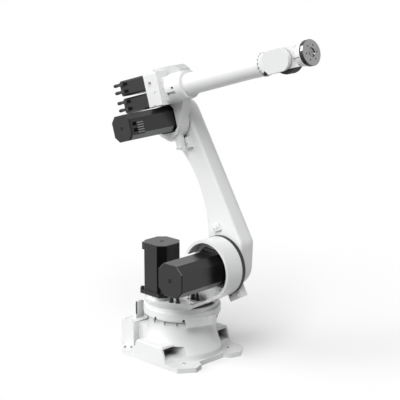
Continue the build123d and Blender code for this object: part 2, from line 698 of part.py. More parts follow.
def wrist_motor_plugs():
    """Two round plugs a motor: on blocks beside the -Y motors, on the rear of the +Y one."""
    rear = GEAR_CASE_REAR_X - WRIST_MOTOR_LENGTH
    end = rear - WRIST_PLUG_OVERHANG
    block_x = (rear + WRIST_PLUG_INSET, rear + WRIST_PLUG_INSET + WRIST_PLUG_BLOCK)
    plugs = []
    for y, z in wrist_motor_spots().values():
        for height in (z + WRIST_PLUG_RISE, z - WRIST_PLUG_DROP):
            side = y - WRIST_MOTOR_SIZE / 2
            middle = side - WRIST_PLUG_R if y < 0 else y
            root = block_x[0] if y < 0 else rear
            face = Plane((end, middle, height), x_dir=(0, 1, 0), z_dir=(1, 0, 0))
            plug = extrude(face * Circle(WRIST_PLUG_R), root - end)
            if y < 0:
                block_z = (height - WRIST_PLUG_R, height + WRIST_PLUG_R)
                plug += slab(block_x, (side - 2 * WRIST_PLUG_R, side), block_z)
            plugs.append(ELBOW * plug)
    return Compound(children=plugs)


def forearm_collar():
    """Round collar where the forearm turns in the elbow."""
    end = COLLAR_X + COLLAR_LENGTH
    shape = turned([(COLLAR_X, 0), (COLLAR_X, COLLAR_R), (end, COLLAR_R), (end, 0)])
    return FOREARM * fillet(shape.edges().filter_by(GeomType.CIRCLE).group_by(Axis.X)[-1], COLLAR_ROUND)


def forearm_tube():
    """Tapered forearm tube."""
    return FOREARM * turned([(TUBE_X, 0), (TUBE_X, TUBE_ROOT_R), (NOSE_X, TUBE_TIP_R), (NOSE_X, 0)])


def forearm_nose():
    """Short front section of the forearm."""
    return FOREARM * turned([(NOSE_X, 0), (NOSE_X, NOSE_R), (END_FLANGE_X, NOSE_R), (END_FLANGE_X, 0)])


def wrist_end_flange():
    """Bolted ring between the forearm and the wrist."""
    ring = turned([(END_FLANGE_X, 0), (END_FLANGE_X, END_FLANGE_R), (WRIST_X, END_FLANGE_R), (WRIST_X, 0)])
    return FOREARM * chamfer(ring.edges().filter_by(GeomType.CIRCLE), FLANGE_EDGE)


def wrist_housing():
    """Fork of the wrist: round at the rear, two cheeks in front."""
    start = -WRIST_REAR
    shoulder = start + WRIST_BLEND
    rear = Plane((start, 0, 0), x_dir=(0, 1, 0), z_dir=(1, 0, 0))
    front = Plane((shoulder, 0, 0), x_dir=(0, 1, 0), z_dir=(1, 0, 0))
    oblong = RectangleRounded(2 * WRIST_HALF_WIDTH, 2 * WRIST_HALF_HEIGHT, WRIST_ROUND)
    blend = loft([rear * Circle(NOSE_R), front * oblong])
    trunk = extrude(front * oblong, -shoulder)
    nose = disc(WRIST_HALF_HEIGHT, -WRIST_HALF_WIDTH, WRIST_HALF_WIDTH)
    inner = HUB_HALF_WIDTH + MOVING_GAP
    slot = disc(FORK_SLOT_R, -inner, inner)
    bearing = disc(BEARING_R, HUB_HALF_WIDTH + JOINT_GAP, inner)
    return WRIST * (blend + trunk + nose - slot - port_seat() + bearing + mirror(bearing, Plane.XZ))


def wrist_cover():
    """Flat cover on the -Y cheek of the wrist."""
    rear = Pos(-COVER_REACH / 2, 0) * Rectangle(COVER_REACH, 2 * COVER_R)
    rear = chamfer(rear.vertices().group_by(Axis.X)[0], COVER_CORNER)
    plate = across(rear + Circle(COVER_R), -WRIST_HALF_WIDTH - COVER_THICKNESS, -WRIST_HALF_WIDTH)
    return chamfer(plate.faces().sort_by(Axis.Y)[0].edges(), FLANGE_EDGE)


def port_plane():
    """Plane of the seat that the cable port stands on, in the lower rounded corner of the -Y side."""
    tilt = radians(PORT_TILT)
    depth = WRIST_ROUND - PORT_SINK
    y = WRIST_HALF_WIDTH - WRIST_ROUND + depth * cos(tilt)
    z = WRIST_HALF_HEIGHT - WRIST_ROUND + depth * sin(tilt)
    return Plane((-PORT_BACK, -y, -z), x_dir=(1, 0, 0), z_dir=(0, -cos(tilt), -sin(tilt)))


def port_seat():
    """Round cut with a flat floor for the cable port."""
    return extrude(port_plane() * Circle(PORT_R + FIT_GAP), PORT_LENGTH)


def wrist_port():
    """Round cable port low on the rear of the wrist."""
    port = extrude(port_plane() * Circle(PORT_R), PORT_LENGTH)
    top = port_plane().offset(PORT_LENGTH)
    return WRIST * (port + extrude(top * Circle(PORT_COLLAR_R), PORT_COLLAR_LENGTH))


def hand_casting():
    """Tilting hand: hub between the cheeks and the round housing of the last axis."""
    hub = disc(HUB_R, -HUB_HALF_WIDTH, HUB_HALF_WIDTH)
    neck = slab((0, NECK_END), (-HUB_HALF_WIDTH, HUB_HALF_WIDTH), (-HUB_FLAT, HUB_FLAT))
    housing = turned([
        (NECK_START, 0),
        (NECK_START, NECK_R),
        (HOUSING_START, HOUSING_R),
        (FLANGE_REAR - HOUSING_EDGE, HOUSING_R),
        (FLANGE_REAR, HOUSING_R - HOUSING_EDGE),
        (FLANGE_REAR, 0),
    ])
    flat = slab((-HUB_R, NECK_START), (-HUB_R, HUB_R), (-2 * HUB_R, -HUB_FLAT))
    return WRIST * (hub + neck - flat + housing)


def hand_guard():
    """Round guard under the hub of the hand."""
    guard = disc(GUARD_R, -GUARD_HALF_WIDTH, GUARD_HALF_WIDTH)
    keep = slab((-GUARD_R, NECK_START - MOVING_GAP), (-GUARD_R, GUARD_R), (-GUARD_R, -HUB_FLAT))
    return WRIST * (guard & keep)


def tool_flange():
    """Round tool flange with its pilot recess and bolt circle."""
    face = WRIST_LENGTH
    pilot = face - PILOT_DEPTH
    shape = turned([
        (FLANGE_REAR + JOINT_GAP, 0),
        (FLANGE_REAR + JOINT_GAP, FLANGE_R),
        (face - FLANGE_EDGE, FLANGE_R),
        (face, FLANGE_R - FLANGE_EDGE),
        (face, PILOT_R),
        (pilot, PILOT_R),
        (pilot, 0),
    ])
    front = Plane((face, 0, 0), x_dir=(0, 1, 0), z_dir=(1, 0, 0))
    for place in PolarLocations(TOOL_BOLT_CIRCLE / 2, TOOL_BOLT_COUNT):
        shape -= extrude(front * place * Circle(TOOL_BOLT_HOLE / 2), -TOOL_BOLT_DEPTH)
    return WRIST * shape


def hose_couplings():
    """Round hose couplings standing on the turret deck."""
    stand = (Align.CENTER, Align.CENTER, Align.MIN)
    couplings = []
    for x, y in COUPLING_SPOTS:
        inside = UPRIGHT_REAR_X < x < UPRIGHT_FRONT_X and y > DRUM_NEAR_Y
        floor = DECK_TOP if inside else RING_TOP
        body = Cylinder(COUPLING_R, COUPLING_HEIGHT, align=stand)
        cap = Pos(0, 0, COUPLING_HEIGHT) * Cylinder(COUPLING_CAP_R, COUPLING_CAP_HEIGHT, align=stand)
        couplings.append(Pos(x, y, floor) * (body + cap))
    return Compound(children=couplings)


# Base
save("base_casting", base_casting())
save("connector_box", connector_box())
save("connector_panel", connector_panel())
save("cable_duct", cable_duct())
axis_1_top = AXIS_1_GEARBOX_HEIGHT - JOINT_GAP
save("axis_1_gearbox", Pos(0, 0, PEDESTAL_TOP + axis_1_top / 2) * Cylinder(AXIS_1_GEARBOX_R, axis_1_top))

# Turret
save("turret_ring", turret_ring())
save("turret_upright", turret_upright())
save("axis_1_motor_flange", axis_1_motor_flange())
save("axis_1_motor", axis_1_motor())
save("axis_1_motor_plug", axis_1_motor_plug())
save("axis_2_motor_flange", axis_2_motor_flange())
save("axis_2_motor", axis_2_motor())
shoulder_spot = (SHOULDER_X, SHOULDER_Z)
save("axis_2_gearbox", disc(AXIS_2_GEARBOX_R, DRUM_FAR_Y, ARM_NEAR_Y - JOINT_GAP, shoulder_spot))
save("hose_bracket", hose_bracket())
save("hose_couplings", hose_couplings())

# Lower arm
save("lower_arm_casting", lower_arm_casting())
save("arm_shoulder_cap", arm_cap(0))
save("arm_elbow_cap", arm_cap(LOWER_ARM_LENGTH))
save("arm_lug", arm_lug())
save("arm_stop", arm_stop())
save("elbow_bumper", elbow_bumper())

# Elbow
save("elbow_casting", elbow_casting())
save("axis_3_gearbox", ELBOW * disc(AXIS_3_GEARBOX_R, BOSS_FAR_Y, ARM_NEAR_Y - JOINT_GAP))
save("elbow_stop", elbow_stop())
save("axis_3_motor_flange", axis_3_motor_flange())
save("axis_3_motor", axis_3_motor())
save("wrist_gear_case", wrist_gear_case())
save("elbow_cover", elbow_cover())
for motor_name, motor_spot in wrist_motor_spots().items():
    save(motor_name, wrist_motor(motor_spot))
save("wrist_motor_plugs", wrist_motor_plugs())

# Forearm and wrist
save("forearm_collar", forearm_collar())
save("forearm_tube", forearm_tube())
save("forearm_nose", forearm_nose())
save("wrist_end_flange", wrist_end_flange())
save("wrist_housing", wrist_housing())
save("wrist_cover_near", WRIST * wrist_cover())
save("wrist_cover_far", WRIST * mirror(wrist_cover(), Plane.XZ))
save("wrist_port", wrist_port())
save("hand_casting", hand_casting())
save("hand_guard", hand_guard())
save("tool_flange", tool_flange())
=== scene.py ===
"""Looks of a six-axis robot arm: finishes, fasteners, studio light and camera.

Everything is in metres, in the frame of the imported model. Sizes that describe
fasteners and marks are given in millimetres and turned into metres once.
"""

import json
import logging
import math
from dataclasses import dataclass
from enum import Enum
from functools import cache
from typing import Any, Iterable, NamedTuple, Sequence

import bmesh
import bpy
from mathutils import Matrix, Vector

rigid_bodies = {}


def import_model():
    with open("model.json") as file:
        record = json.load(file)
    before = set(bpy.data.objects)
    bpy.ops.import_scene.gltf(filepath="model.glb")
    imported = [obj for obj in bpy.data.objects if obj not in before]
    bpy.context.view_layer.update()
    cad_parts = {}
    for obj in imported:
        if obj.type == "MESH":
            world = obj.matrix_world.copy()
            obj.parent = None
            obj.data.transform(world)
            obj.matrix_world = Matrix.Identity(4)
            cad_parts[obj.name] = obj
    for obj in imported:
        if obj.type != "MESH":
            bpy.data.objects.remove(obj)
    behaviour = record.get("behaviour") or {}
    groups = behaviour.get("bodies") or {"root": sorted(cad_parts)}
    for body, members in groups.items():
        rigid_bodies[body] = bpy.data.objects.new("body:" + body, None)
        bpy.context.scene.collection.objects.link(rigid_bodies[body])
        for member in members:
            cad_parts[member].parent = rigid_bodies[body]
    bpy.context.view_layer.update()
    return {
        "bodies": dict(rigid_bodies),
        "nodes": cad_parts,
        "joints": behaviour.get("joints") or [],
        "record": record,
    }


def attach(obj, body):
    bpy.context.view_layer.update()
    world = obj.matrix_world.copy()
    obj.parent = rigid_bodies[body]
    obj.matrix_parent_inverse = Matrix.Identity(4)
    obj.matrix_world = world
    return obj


LOG = logging.getLogger("robot_arm")
MM = 0.001
Point = tuple[float, float, float]
Pair = tuple[float, float]
Spots = tuple[tuple[float, ...], tuple[float, ...]]
UP, DOWN = (0, 0, 1), (0, 0, -1)
FRONT, REAR, NEAR, FAR = (1, 0, 0), (-1, 0, 0), (0, -1, 0), (0, 1, 0)
LOWER_FRONT = (1, 0, -1)
CORNERS = ((-1, -1), (1, -1), (1, 1), (-1, 1))


@dataclass(frozen=True)
class Value:
    """An output socket of a shader that can be used in plain arithmetic."""

    shader: "Shader"
    socket: bpy.types.NodeSocket

    def _math(self, operation: str, first: Any, second: Any) -> "Value":
        """Add one Math node.

        Args:
            operation: The Math node's operation.
            first: First operand.
            second: Second operand.

        Returns:
            The node's result.
        """
        return self.shader.node("ShaderNodeMath", {"operation": operation}, {0: first, 1: second})

    def __add__(self, other: Any) -> "Value":
        """Sum of two values."""
        return self._math("ADD", self, other)

    def __radd__(self, other: Any) -> "Value":
        """Sum with the number on the left."""
        return self._math("ADD", other, self)

    def __sub__(self, other: Any) -> "Value":
        """Difference of two values."""
        return self._math("SUBTRACT", self, other)

    def __rsub__(self, other: Any) -> "Value":
        """Difference with the number on the left."""
        return self._math("SUBTRACT", other, self)

    def __mul__(self, other: Any) -> "Value":
        """Product of two values."""
        return self._math("MULTIPLY", self, other)

    def __rmul__(self, other: Any) -> "Value":
        """Product with the number on the left."""
        return self._math("MULTIPLY", other, self)

    def maximum(self, other: Any) -> "Value":
        """Larger of two values."""
        return self._math("MAXIMUM", self, other)

    def clamped(self, low: float, high: float) -> "Value":
        """Share of the way from a low to a high value, held between 0 and 1.

        Args:
            low: Where the result starts to rise.
            high: Where it reaches 1.

        Returns:
            The share.
        """
        return self.shader.node("ShaderNodeMapRange", {"interpolation_type": "SMOOTHSTEP"},
                                {"Value": self, "From Min": low, "From Max": high})


class Shader:
    """A node tree of a material or of the world, built by expressions."""

    def __init__(self, tree: bpy.types.NodeTree) -> None:
        """Start from an empty tree.

        Args:
            tree: The node tree to fill.
        """
        self.tree = tree
        tree.nodes.clear()

    def node(self, kind: str, settings: dict[str, Any] | None = None,
             inputs: dict[str | int, Any] | None = None, output: str | int = 0) -> Value | None:
        """Add a node of any type.

        Args:
            kind: Blender's name of the node type.
            settings: Node properties, set first.
            inputs: Values or links by socket name or number.
            output: Which output to return.

        Returns:
            The chosen output, or None for a node that has none.
        """
        node = self.tree.nodes.new(kind)
        for name, setting in (settings or {}).items():
            setattr(node, name, setting)
        for name, given in (inputs or {}).items():
            if isinstance(given, Value):
                self.tree.links.new(given.socket, node.inputs[name])
            else:
                node.inputs[name].default_value = given
        return Value(self, node.outputs[output]) if node.outputs else None

    def mix_colour(self, factor: Any, low: Any, high: Any) -> Value:
        """Blend two colours.

        Args:
            factor: 0 gives low and 1 gives high.
            low: First colour.
            high: Second colour.

        Returns:
            The blended colour.
        """
        return self.node("ShaderNodeMix", {"data_type": "RGBA"}, {0: factor, 6: low, 7: high}, 2)

    def noise(self, scale: float, detail: float = 3.0, roughness: float = 0.5) -> Value:
        """Noise in object space.

        Args:
            scale: Cells in a metre.
            detail: Octaves.
            roughness: Weight of the finer octaves.

        Returns:
            The noise, about 0.5 on average.
        """
        place = self.node("ShaderNodeTexCoord", output="Object")
        return self.node("ShaderNodeTexNoise", {},
                         {"Vector": place, "Scale": scale, "Detail": detail, "Roughness": roughness})

    def open_air(self, reach: float) -> Value:
        """How open a place is to its surroundings, by ambient occlusion; paints use it to paint shade into
        recesses.

        Args:
            reach: Distance in metres within which other surfaces count.

        Returns:
            1 in the open, towards 0 in deep recesses.
        """
        return self.node("ShaderNodeAmbientOcclusion", {"samples": 8}, {"Distance": reach}, "AO")

    def bump(self, height: Value, strength: float, distance: float) -> Value:
        """Bump for the Normal socket.

        Args:
            height: Height between 0 and 1.
            strength: How much of it shows.
            distance: Depth in metres.

        Returns:
            The bent normal.
        """
        return self.node("ShaderNodeBump", {}, {"Height": height, "Strength": strength, "Distance": distance})

    def surface(self, **inputs: Any) -> None:
        """Close the tree with a Principled shader.

        Args:
            inputs: Socket values, with underscores for spaces.
        """
        named = {name.replace("_", " "): given for name, given in inputs.items()}
        closure = self.node("ShaderNodeBsdfPrincipled", {}, named)
        self.node("ShaderNodeOutputMaterial", {}, {"Surface": closure})


def grey(level: float, warm: float = 0.0) -> tuple[float, float, float, float]:
    """A near-neutral linear colour.

    Args:
        level: Brightness from 0 to 1.
        warm: Added to red and taken from blue.

    Returns:
        The colour with full alpha.
    """
    return (level + warm, level, level - warm, 1.0)


@dataclass(frozen=True)
class Finish:
    """A surface finish and the record's slot that it belongs to."""

    name: str
    slot: str

    def make(self) -> bpy.types.Material:
        """Make the material.

        Returns:
            The material with its nodes.
        """
        material = bpy.data.materials.new(self.name)
        material.use_nodes = True
        self.fill(Shader(material.node_tree))
        return material

    def fill(self, shader: Shader) -> None:
        """Build the node tree; each kind of finish has its own.

        Args:
            shader: The empty tree.
        """
        raise NotImplementedError


@dataclass(frozen=True)
class Paint(Finish):
    """Sprayed paint over a casting, with faint clouds, orange peel and sand grain.

    Deep recesses get painted shade: the colour is darkened there by ambient occlusion. Scales are cells in a
    metre, and a bump is its strength and depth.
    """

    level: float = 0.84
    warm: float = -0.004
    cloud: float = 0.02
    cloud_scale: float = 5.0
    cloud_rough: float = 0.08
    rough: float = 0.36
    peel: float = 0.05
    peel_scale: float = 420.0
    peel_rough: float = 0.06
    grain: float = 0.03
    grain_scale: float = 1500.0
    bump: Pair = (0.6, 0.0012)
    coat: float = 0.12
    coat_rough: float = 0.25
    # Painted shade in recesses: the darkest share of the level, the occlusion reach and where the darkening
    # ends.
    recess: float = 0.1
    recess_reach: float = 0.22
    recess_end: float = 0.3

    def fill(self, shader: Shader) -> None:
        """Build the paint.

        Args:
            shader: The empty tree.
        """
        clouds = shader.noise(self.cloud_scale, 4.0)
        fine = shader.noise(self.peel_scale, 2.0)
        sand = shader.noise(self.grain_scale, 2.0)
        sprayed = shader.mix_colour(clouds, grey(self.level - self.cloud, self.warm),
                                    grey(self.level + self.cloud, self.warm))
        # Painted shade: the colour darkens towards a dark grey where ambient occlusion finds surfaces nearby.
        open_air = shader.open_air(self.recess_reach).clamped(0.0, self.recess_end)
        colour = shader.mix_colour(open_air, grey(self.level * self.recess), sprayed)
        rough = self.rough + self.cloud_rough * (clouds - 0.5) + self.peel_rough * (fine - 0.5)
        normal = shader.bump(fine * self.peel + sand * self.grain, *self.bump)
        shader.surface(Base_Color=colour, Roughness=rough, Coat_Weight=self.coat,
                       Coat_Roughness=self.coat_rough, Normal=normal)


@dataclass(frozen=True)
class Plastic(Finish):
    """Moulded plastic with a fine spark-eroded grain."""

    level: float = 0.018
    cloud: float = 1.25
    cloud_scale: float = 30.0
    rough: float = 0.5
    shine: float = 0.5
    grain_scale: float = 2200.0
    grain_rough: float = 0.15
    bump: Pair = (0.25, 0.0004)

    def fill(self, shader: Shader) -> None:
        """Build the plastic.

        Args:
            shader: The empty tree.
        """
        grain = shader.noise(self.grain_scale, 2.0)
        clouds = shader.noise(self.cloud_scale, 3.0)
        colour = shader.mix_colour(clouds, grey(self.level / self.cloud), grey(self.level * self.cloud))
        shader.surface(Base_Color=colour, Roughness=self.rough + self.grain_rough * (grain - 0.5),
                       Specular_IOR_Level=self.shine, Normal=shader.bump(grain, *self.bump))


@dataclass(frozen=True)
class Metal(Finish):
    """Machined metal with fine cutting marks."""

    level: float = 0.3
    metallic: float = 0.7
    rough: float = 0.38
    marks: float = 900.0
    mark_rough: float = 0.12
    cloud: float = 0.1
    cloud_scale: float = 18.0
    cloud_rough: float = 0.08
    bump: Pair = (0.12, 0.0003)

    def fill(self, shader: Shader) -> None:
        """Build the metal.

        Args:
            shader: The empty tree.
        """
        streaks = shader.noise(self.marks, 2.0, 0.6)
        clouds = shader.noise(self.cloud_scale, 3.0)
        colour = shader.mix_colour(clouds, grey(self.level * (1.0 - self.cloud)),
                                   grey(self.level * (1.0 + self.cloud)))
        rough = self.rough + self.mark_rough * (streaks - 0.5) + self.cloud_rough * (clouds - 0.5)
        shader.surface(Base_Color=self.tint(shader, colour), Metallic=self.metallic, Roughness=rough,
                       Normal=shader.bump(streaks, *self.bump))

    def tint(self, shader: Shader, colour: Value) -> Value:
        """Change the colour over the surface; plain metal keeps it.

        Args:
            shader: The tree to add to; not used by plain metal.
            colour: Colour of the bare metal.

        Returns:
            The colour that shows.
        """
        return colour


@dataclass(frozen=True)
class GroundDisc(Metal):
    """A turned disc with a ground face and a dark rim: faces turned away from the axis are darkened."""

    cloud: float = 0.08
    cloud_rough: float = 0.0
    axis: Point = (1.0, 0.0, 0.0)
    rim: float = 0.035
    rim_range: Pair = (0.6, 0.9)

    def tint(self, shader: Shader, colour: Value) -> Value:
        """Blacken what doesn't face along the axis.

        Args:
            shader: The tree to add to.
            colour: Colour of the ground face.

        Returns:
            The colour that shows.
        """
        normal = shader.node("ShaderNodeTexCoord", output="Normal")
        facing = shader.node("ShaderNodeVectorMath", {"operation": "DOT_PRODUCT"},
                             {0: normal, 1: self.axis}, "Value")
        return shader.mix_colour(facing.clamped(*self.rim_range), grey(self.rim), colour)


class Coat(Enum):
    """The finishes of the arm."""

    WHITE = Paint("white_casting_paint", "white_paint")
    COVER = Paint("cover_paint", "cover_grey", level=0.78, grain=0.0, peel=0.03)
    MOTOR = Paint("motor_paint", "motor_grey", level=0.005, warm=-0.0002, cloud=0.001, rough=0.3, peel=0.04,
                  grain=0.05, coat=0.0)
    GEARBOX = Metal("gearbox_iron", "gearbox_dark", level=0.035, metallic=0.3, rough=0.5, marks=300.0)
    BLACK = Plastic("black_moulding", "black_plastic")
    MATT = Plastic("matt_black", "black_plastic", level=0.004, rough=0.8, shine=0.05)
    # Paler grey strip on motors' lower chamfers: painted reflection of the lit floor.
    BAND = Paint("band_paint", "motor_grey", level=0.2, cloud=0.01, peel=0.03, coat=0.0)
    HOOD = Paint("hood_paint", "hood_grey", level=0.66, peel=0.03)
    FLANGE = Metal("flange_steel", "flange_metal", level=0.36, metallic=0.65, rough=0.42)
    BRIGHT = Metal("polished_steel", "flange_metal", level=0.85, metallic=1.0, rough=0.2, marks=1500.0)
    SCREW = Metal("screw_steel", "gearbox_dark", level=0.05, metallic=0.6, rough=0.36, marks=1800.0)

    @cache
    def made(self) -> bpy.types.Material:
        """Material of the finish, made once."""
        return self.value.make()


class Ring(NamedTuple):
    """One ring of a turned shape, in millimetres; a hexagon has its flats at the radius."""

    radius: float
    height: float
    hexagon: bool = False


Profile = Sequence[Ring]


class Slab(NamedTuple):
    """A block in millimetres: size along a place's X and Y, bottom and top along its Z, and bevel."""

    width: float
    depth: float
    low: float
    high: float
    edge: float


class Screw(Enum):
    """Cap screws: thread, head width, and width of the hexagon socket, in millimetres."""

    M5 = (5.0, 8.5, 4.0)
    M6 = (6.0, 10.0, 5.0)
    M8 = (8.0, 13.0, 6.0)
    M12 = (12.0, 18.0, 10.0)

    @property
    def rings(self) -> Profile:
        """Profile of the head, from below its seat to the bottom of the socket."""
        thread, head, socket = self.value
        edge = thread / 12
        return [Ring(head / 2, -thread / 4), Ring(head / 2, thread - edge), Ring(head / 2 - edge, thread),
                Ring(socket / 2, thread, True), Ring(socket / 2, thread / 2, True),
                Ring(socket / 4, thread / 2 - edge)]


def ridge(root: float, crest: float, start: float, width: float) -> Profile:
    """Profile of a ridge round a turned shape.

    Args:
        root: Radius beside the ridge.
        crest: Radius of its top.
        start: Height at which it starts.
        width: Its width with both flanks.

    Returns:
        Its rings.
    """
    flank = 0.6
    return [Ring(root, start), Ring(crest, start + flank), Ring(crest, start + width - flank),
            Ring(root, start + width)]


class Box(NamedTuple):
    """Bounds in a local frame, in millimetres."""

    low: Vector
    high: Vector

    @classmethod
    def of(cls, spots: Sequence[Vector]) -> "Box":
        """Bounds of a group of points.

        Args:
            spots: The points.

        Returns:
            Their box.
        """
        return cls(*(Vector(pick(spot[i] for spot in spots) for i in range(3)) for pick in (min, max)))

    @property
    def middle(self) -> Vector:
        """Middle of the box."""
        return (self.low + self.high) / 2


@dataclass(frozen=True)
class Axes:
    """A local frame on the arm, in millimetres."""

    matrix: Matrix

    @classmethod
    def along(cls, origin: Sequence[float], ahead: Vector) -> "Axes":
        """Frame in the arm's plane.

        Args:
            origin: Its place in metres.
            ahead: Direction of its X.

        Returns:
            The frame, with Y as in the model.
        """
        x_axis, y_axis = ahead.normalized(), Vector((0.0, 1.0, 0.0))
        turn = Matrix((x_axis, y_axis, x_axis.cross(y_axis))).transposed().to_4x4()
        return cls(Matrix.Translation(Vector(origin)) @ turn @ Matrix.Scale(MM, 4))

    def face(self, spot: Sequence[float], normal: Sequence[float]) -> Matrix:
        """Place on a face.

        Args:
            spot: Point in this frame.
            normal: Way out of the face, which becomes the place's Z.

        Returns:
            The place, in the model's frame.
        """
        turn = Vector(normal).to_track_quat("Z", "Y").to_matrix().to_4x4()
        return self.matrix @ Matrix.Translation(Vector(spot)) @ turn

    def side(self, box: Box, normal: Sequence[float]) -> Matrix:
        """Place in the middle of a box's side.

        Args:
            box: The box, in this frame.
            normal: Way out of the side, along one axis.

        Returns:
            The place, in the model's frame.
        """
        return self.face(box.middle + (box.high - box.low) / 2 * Vector(normal), normal)

    def span(self, node: bpy.types.Object) -> Box:
        """Bounds of a CAD node in this frame.

        Args:
            node: The node.

        Returns:
            Its box.
        """
        back = self.matrix.inverted()
        return Box.of([back @ vertex.co for vertex in node.data.vertices])


def grid(place: Matrix, columns: Sequence[float], rows: Sequence[float]) -> list[Matrix]:
    """Places in columns and rows on a face.

    Args:
        place: Where the shifts start.
        columns: Shifts along the place's X.
        rows: Shifts along the place's Y.

    Returns:
        The places.
    """
    return [place @ Matrix.Translation((x, y, 0.0)) for y in rows for x in columns]


class Solid:
    """A mesh put together from turned and extruded shapes."""

    def __init__(self) -> None:
        """Start empty."""
        self.mesh = bmesh.new()

    def _skin(self, place: Matrix, rows: Sequence[Sequence[Point]]) -> None:
        """Join rows of points into a closed skin.

        Args:
            place: Where the shape stands.
            rows: Rows of the same length, from bottom to top, in millimetres.
        """
        loops = [[self.mesh.verts.new(place @ Vector(point)) for point in row] for row in rows]
        count = len(loops[0])
        for low, high in zip(loops, loops[1:]):
            for step in range(count):
                after = (step + 1) % count
                self.mesh.faces.new((low[step], low[after], high[after], high[step]))
        self.mesh.faces.new(loops[0][::-1])
        self.mesh.faces.new(loops[-1])

    def turn(self, place: Matrix, rings: Profile, sides: int = 24) -> None:
        """Turn a profile about a place's Z.

        Args:
            place: Where the shape stands.
            rings: The profile from bottom to top.
            sides: Steps round the axis, a multiple of six.
        """
        rows = []
        for ring in rings:
            row = []
            for step in range(sides):
                angle = math.tau * step / sides
                reach = ring.radius
                if ring.hexagon:
                    reach /= math.cos(angle % (math.pi / 3) - math.pi / 6)
                row.append((reach * math.cos(angle), reach * math.sin(angle), ring.height))
            rows.append(row)
        self._skin(place, rows)

    def prism(self, place: Matrix, outline: Sequence[Pair], low: float, high: float,
              edge: float = 0.0) -> None:
        """Extrude an outline along a place's Z, with a bevelled top edge.

        Args:
            place: Where the shape stands.
            outline: Corners round the place's Z.
            low: Height of the bottom.
            high: Height of the top.
            edge: Width of the bevel.
        """
        shrink = 1.0 - edge / max(abs(x) for x, _ in outline)
        rows = [(low, 1.0), (high - edge, 1.0)] + ([(high, shrink)] if edge else [])
        self._skin(place, [[(x * size, y * size, height) for x, y in outline] for height, size in rows])

    def block(self, place: Matrix, slab: Slab) -> None:
        """Extrude a rectangle.

        Args:
            place: Where the shape stands.
            slab: Its sizes.
        """
        outline = [(i * slab.width / 2, j * slab.depth / 2) for i, j in CORNERS]
        self.prism(place, outline, slab.low, slab.high, slab.edge)


def round_spots(radius: float, count: int, start: float = 0.0) -> list[Pair]:
    """Points evenly round a circle.

    Args:
        radius: Radius of the circle.
        count: Number of points.
        start: Angle of the first, in degrees.

    Returns:
        The points.
    """
    angles = [math.radians(start) + math.tau * step / count for step in range(count)]
    return [(radius * math.cos(angle), radius * math.sin(angle)) for angle in angles]


@dataclass(frozen=True)
class Joints:
    """Local frames of the arm, worked out from the record's joints."""

    base: Axes
    shoulder: Axes
    elbow: Axes
    wrist: Axes

    @classmethod
    def read(cls, record: dict[str, Any]) -> "Joints":
        """Work the frames out.

        Args:
            record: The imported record.

        Returns:
            The frames.
        """
        joints = {joint["name"]: joint for joint in record["behaviour"]["joints"]}
        spots = {name: Vector(joint["pos_m"]) for name, joint in joints.items()}
        arm = spots["axis_3"] - spots["axis_2"]
        ahead = Vector(joints["axis_4"]["axis"])
        return cls(base=Axes.along((0.0, 0.0, 0.0), Vector((1.0, 0.0, 0.0))),
                   shoulder=Axes.along(spots["axis_2"], Vector((arm.z, 0.0, -arm.x))),
                   elbow=Axes.along(spots["axis_3"], ahead), wrist=Axes.along(spots["axis_5"], ahead))


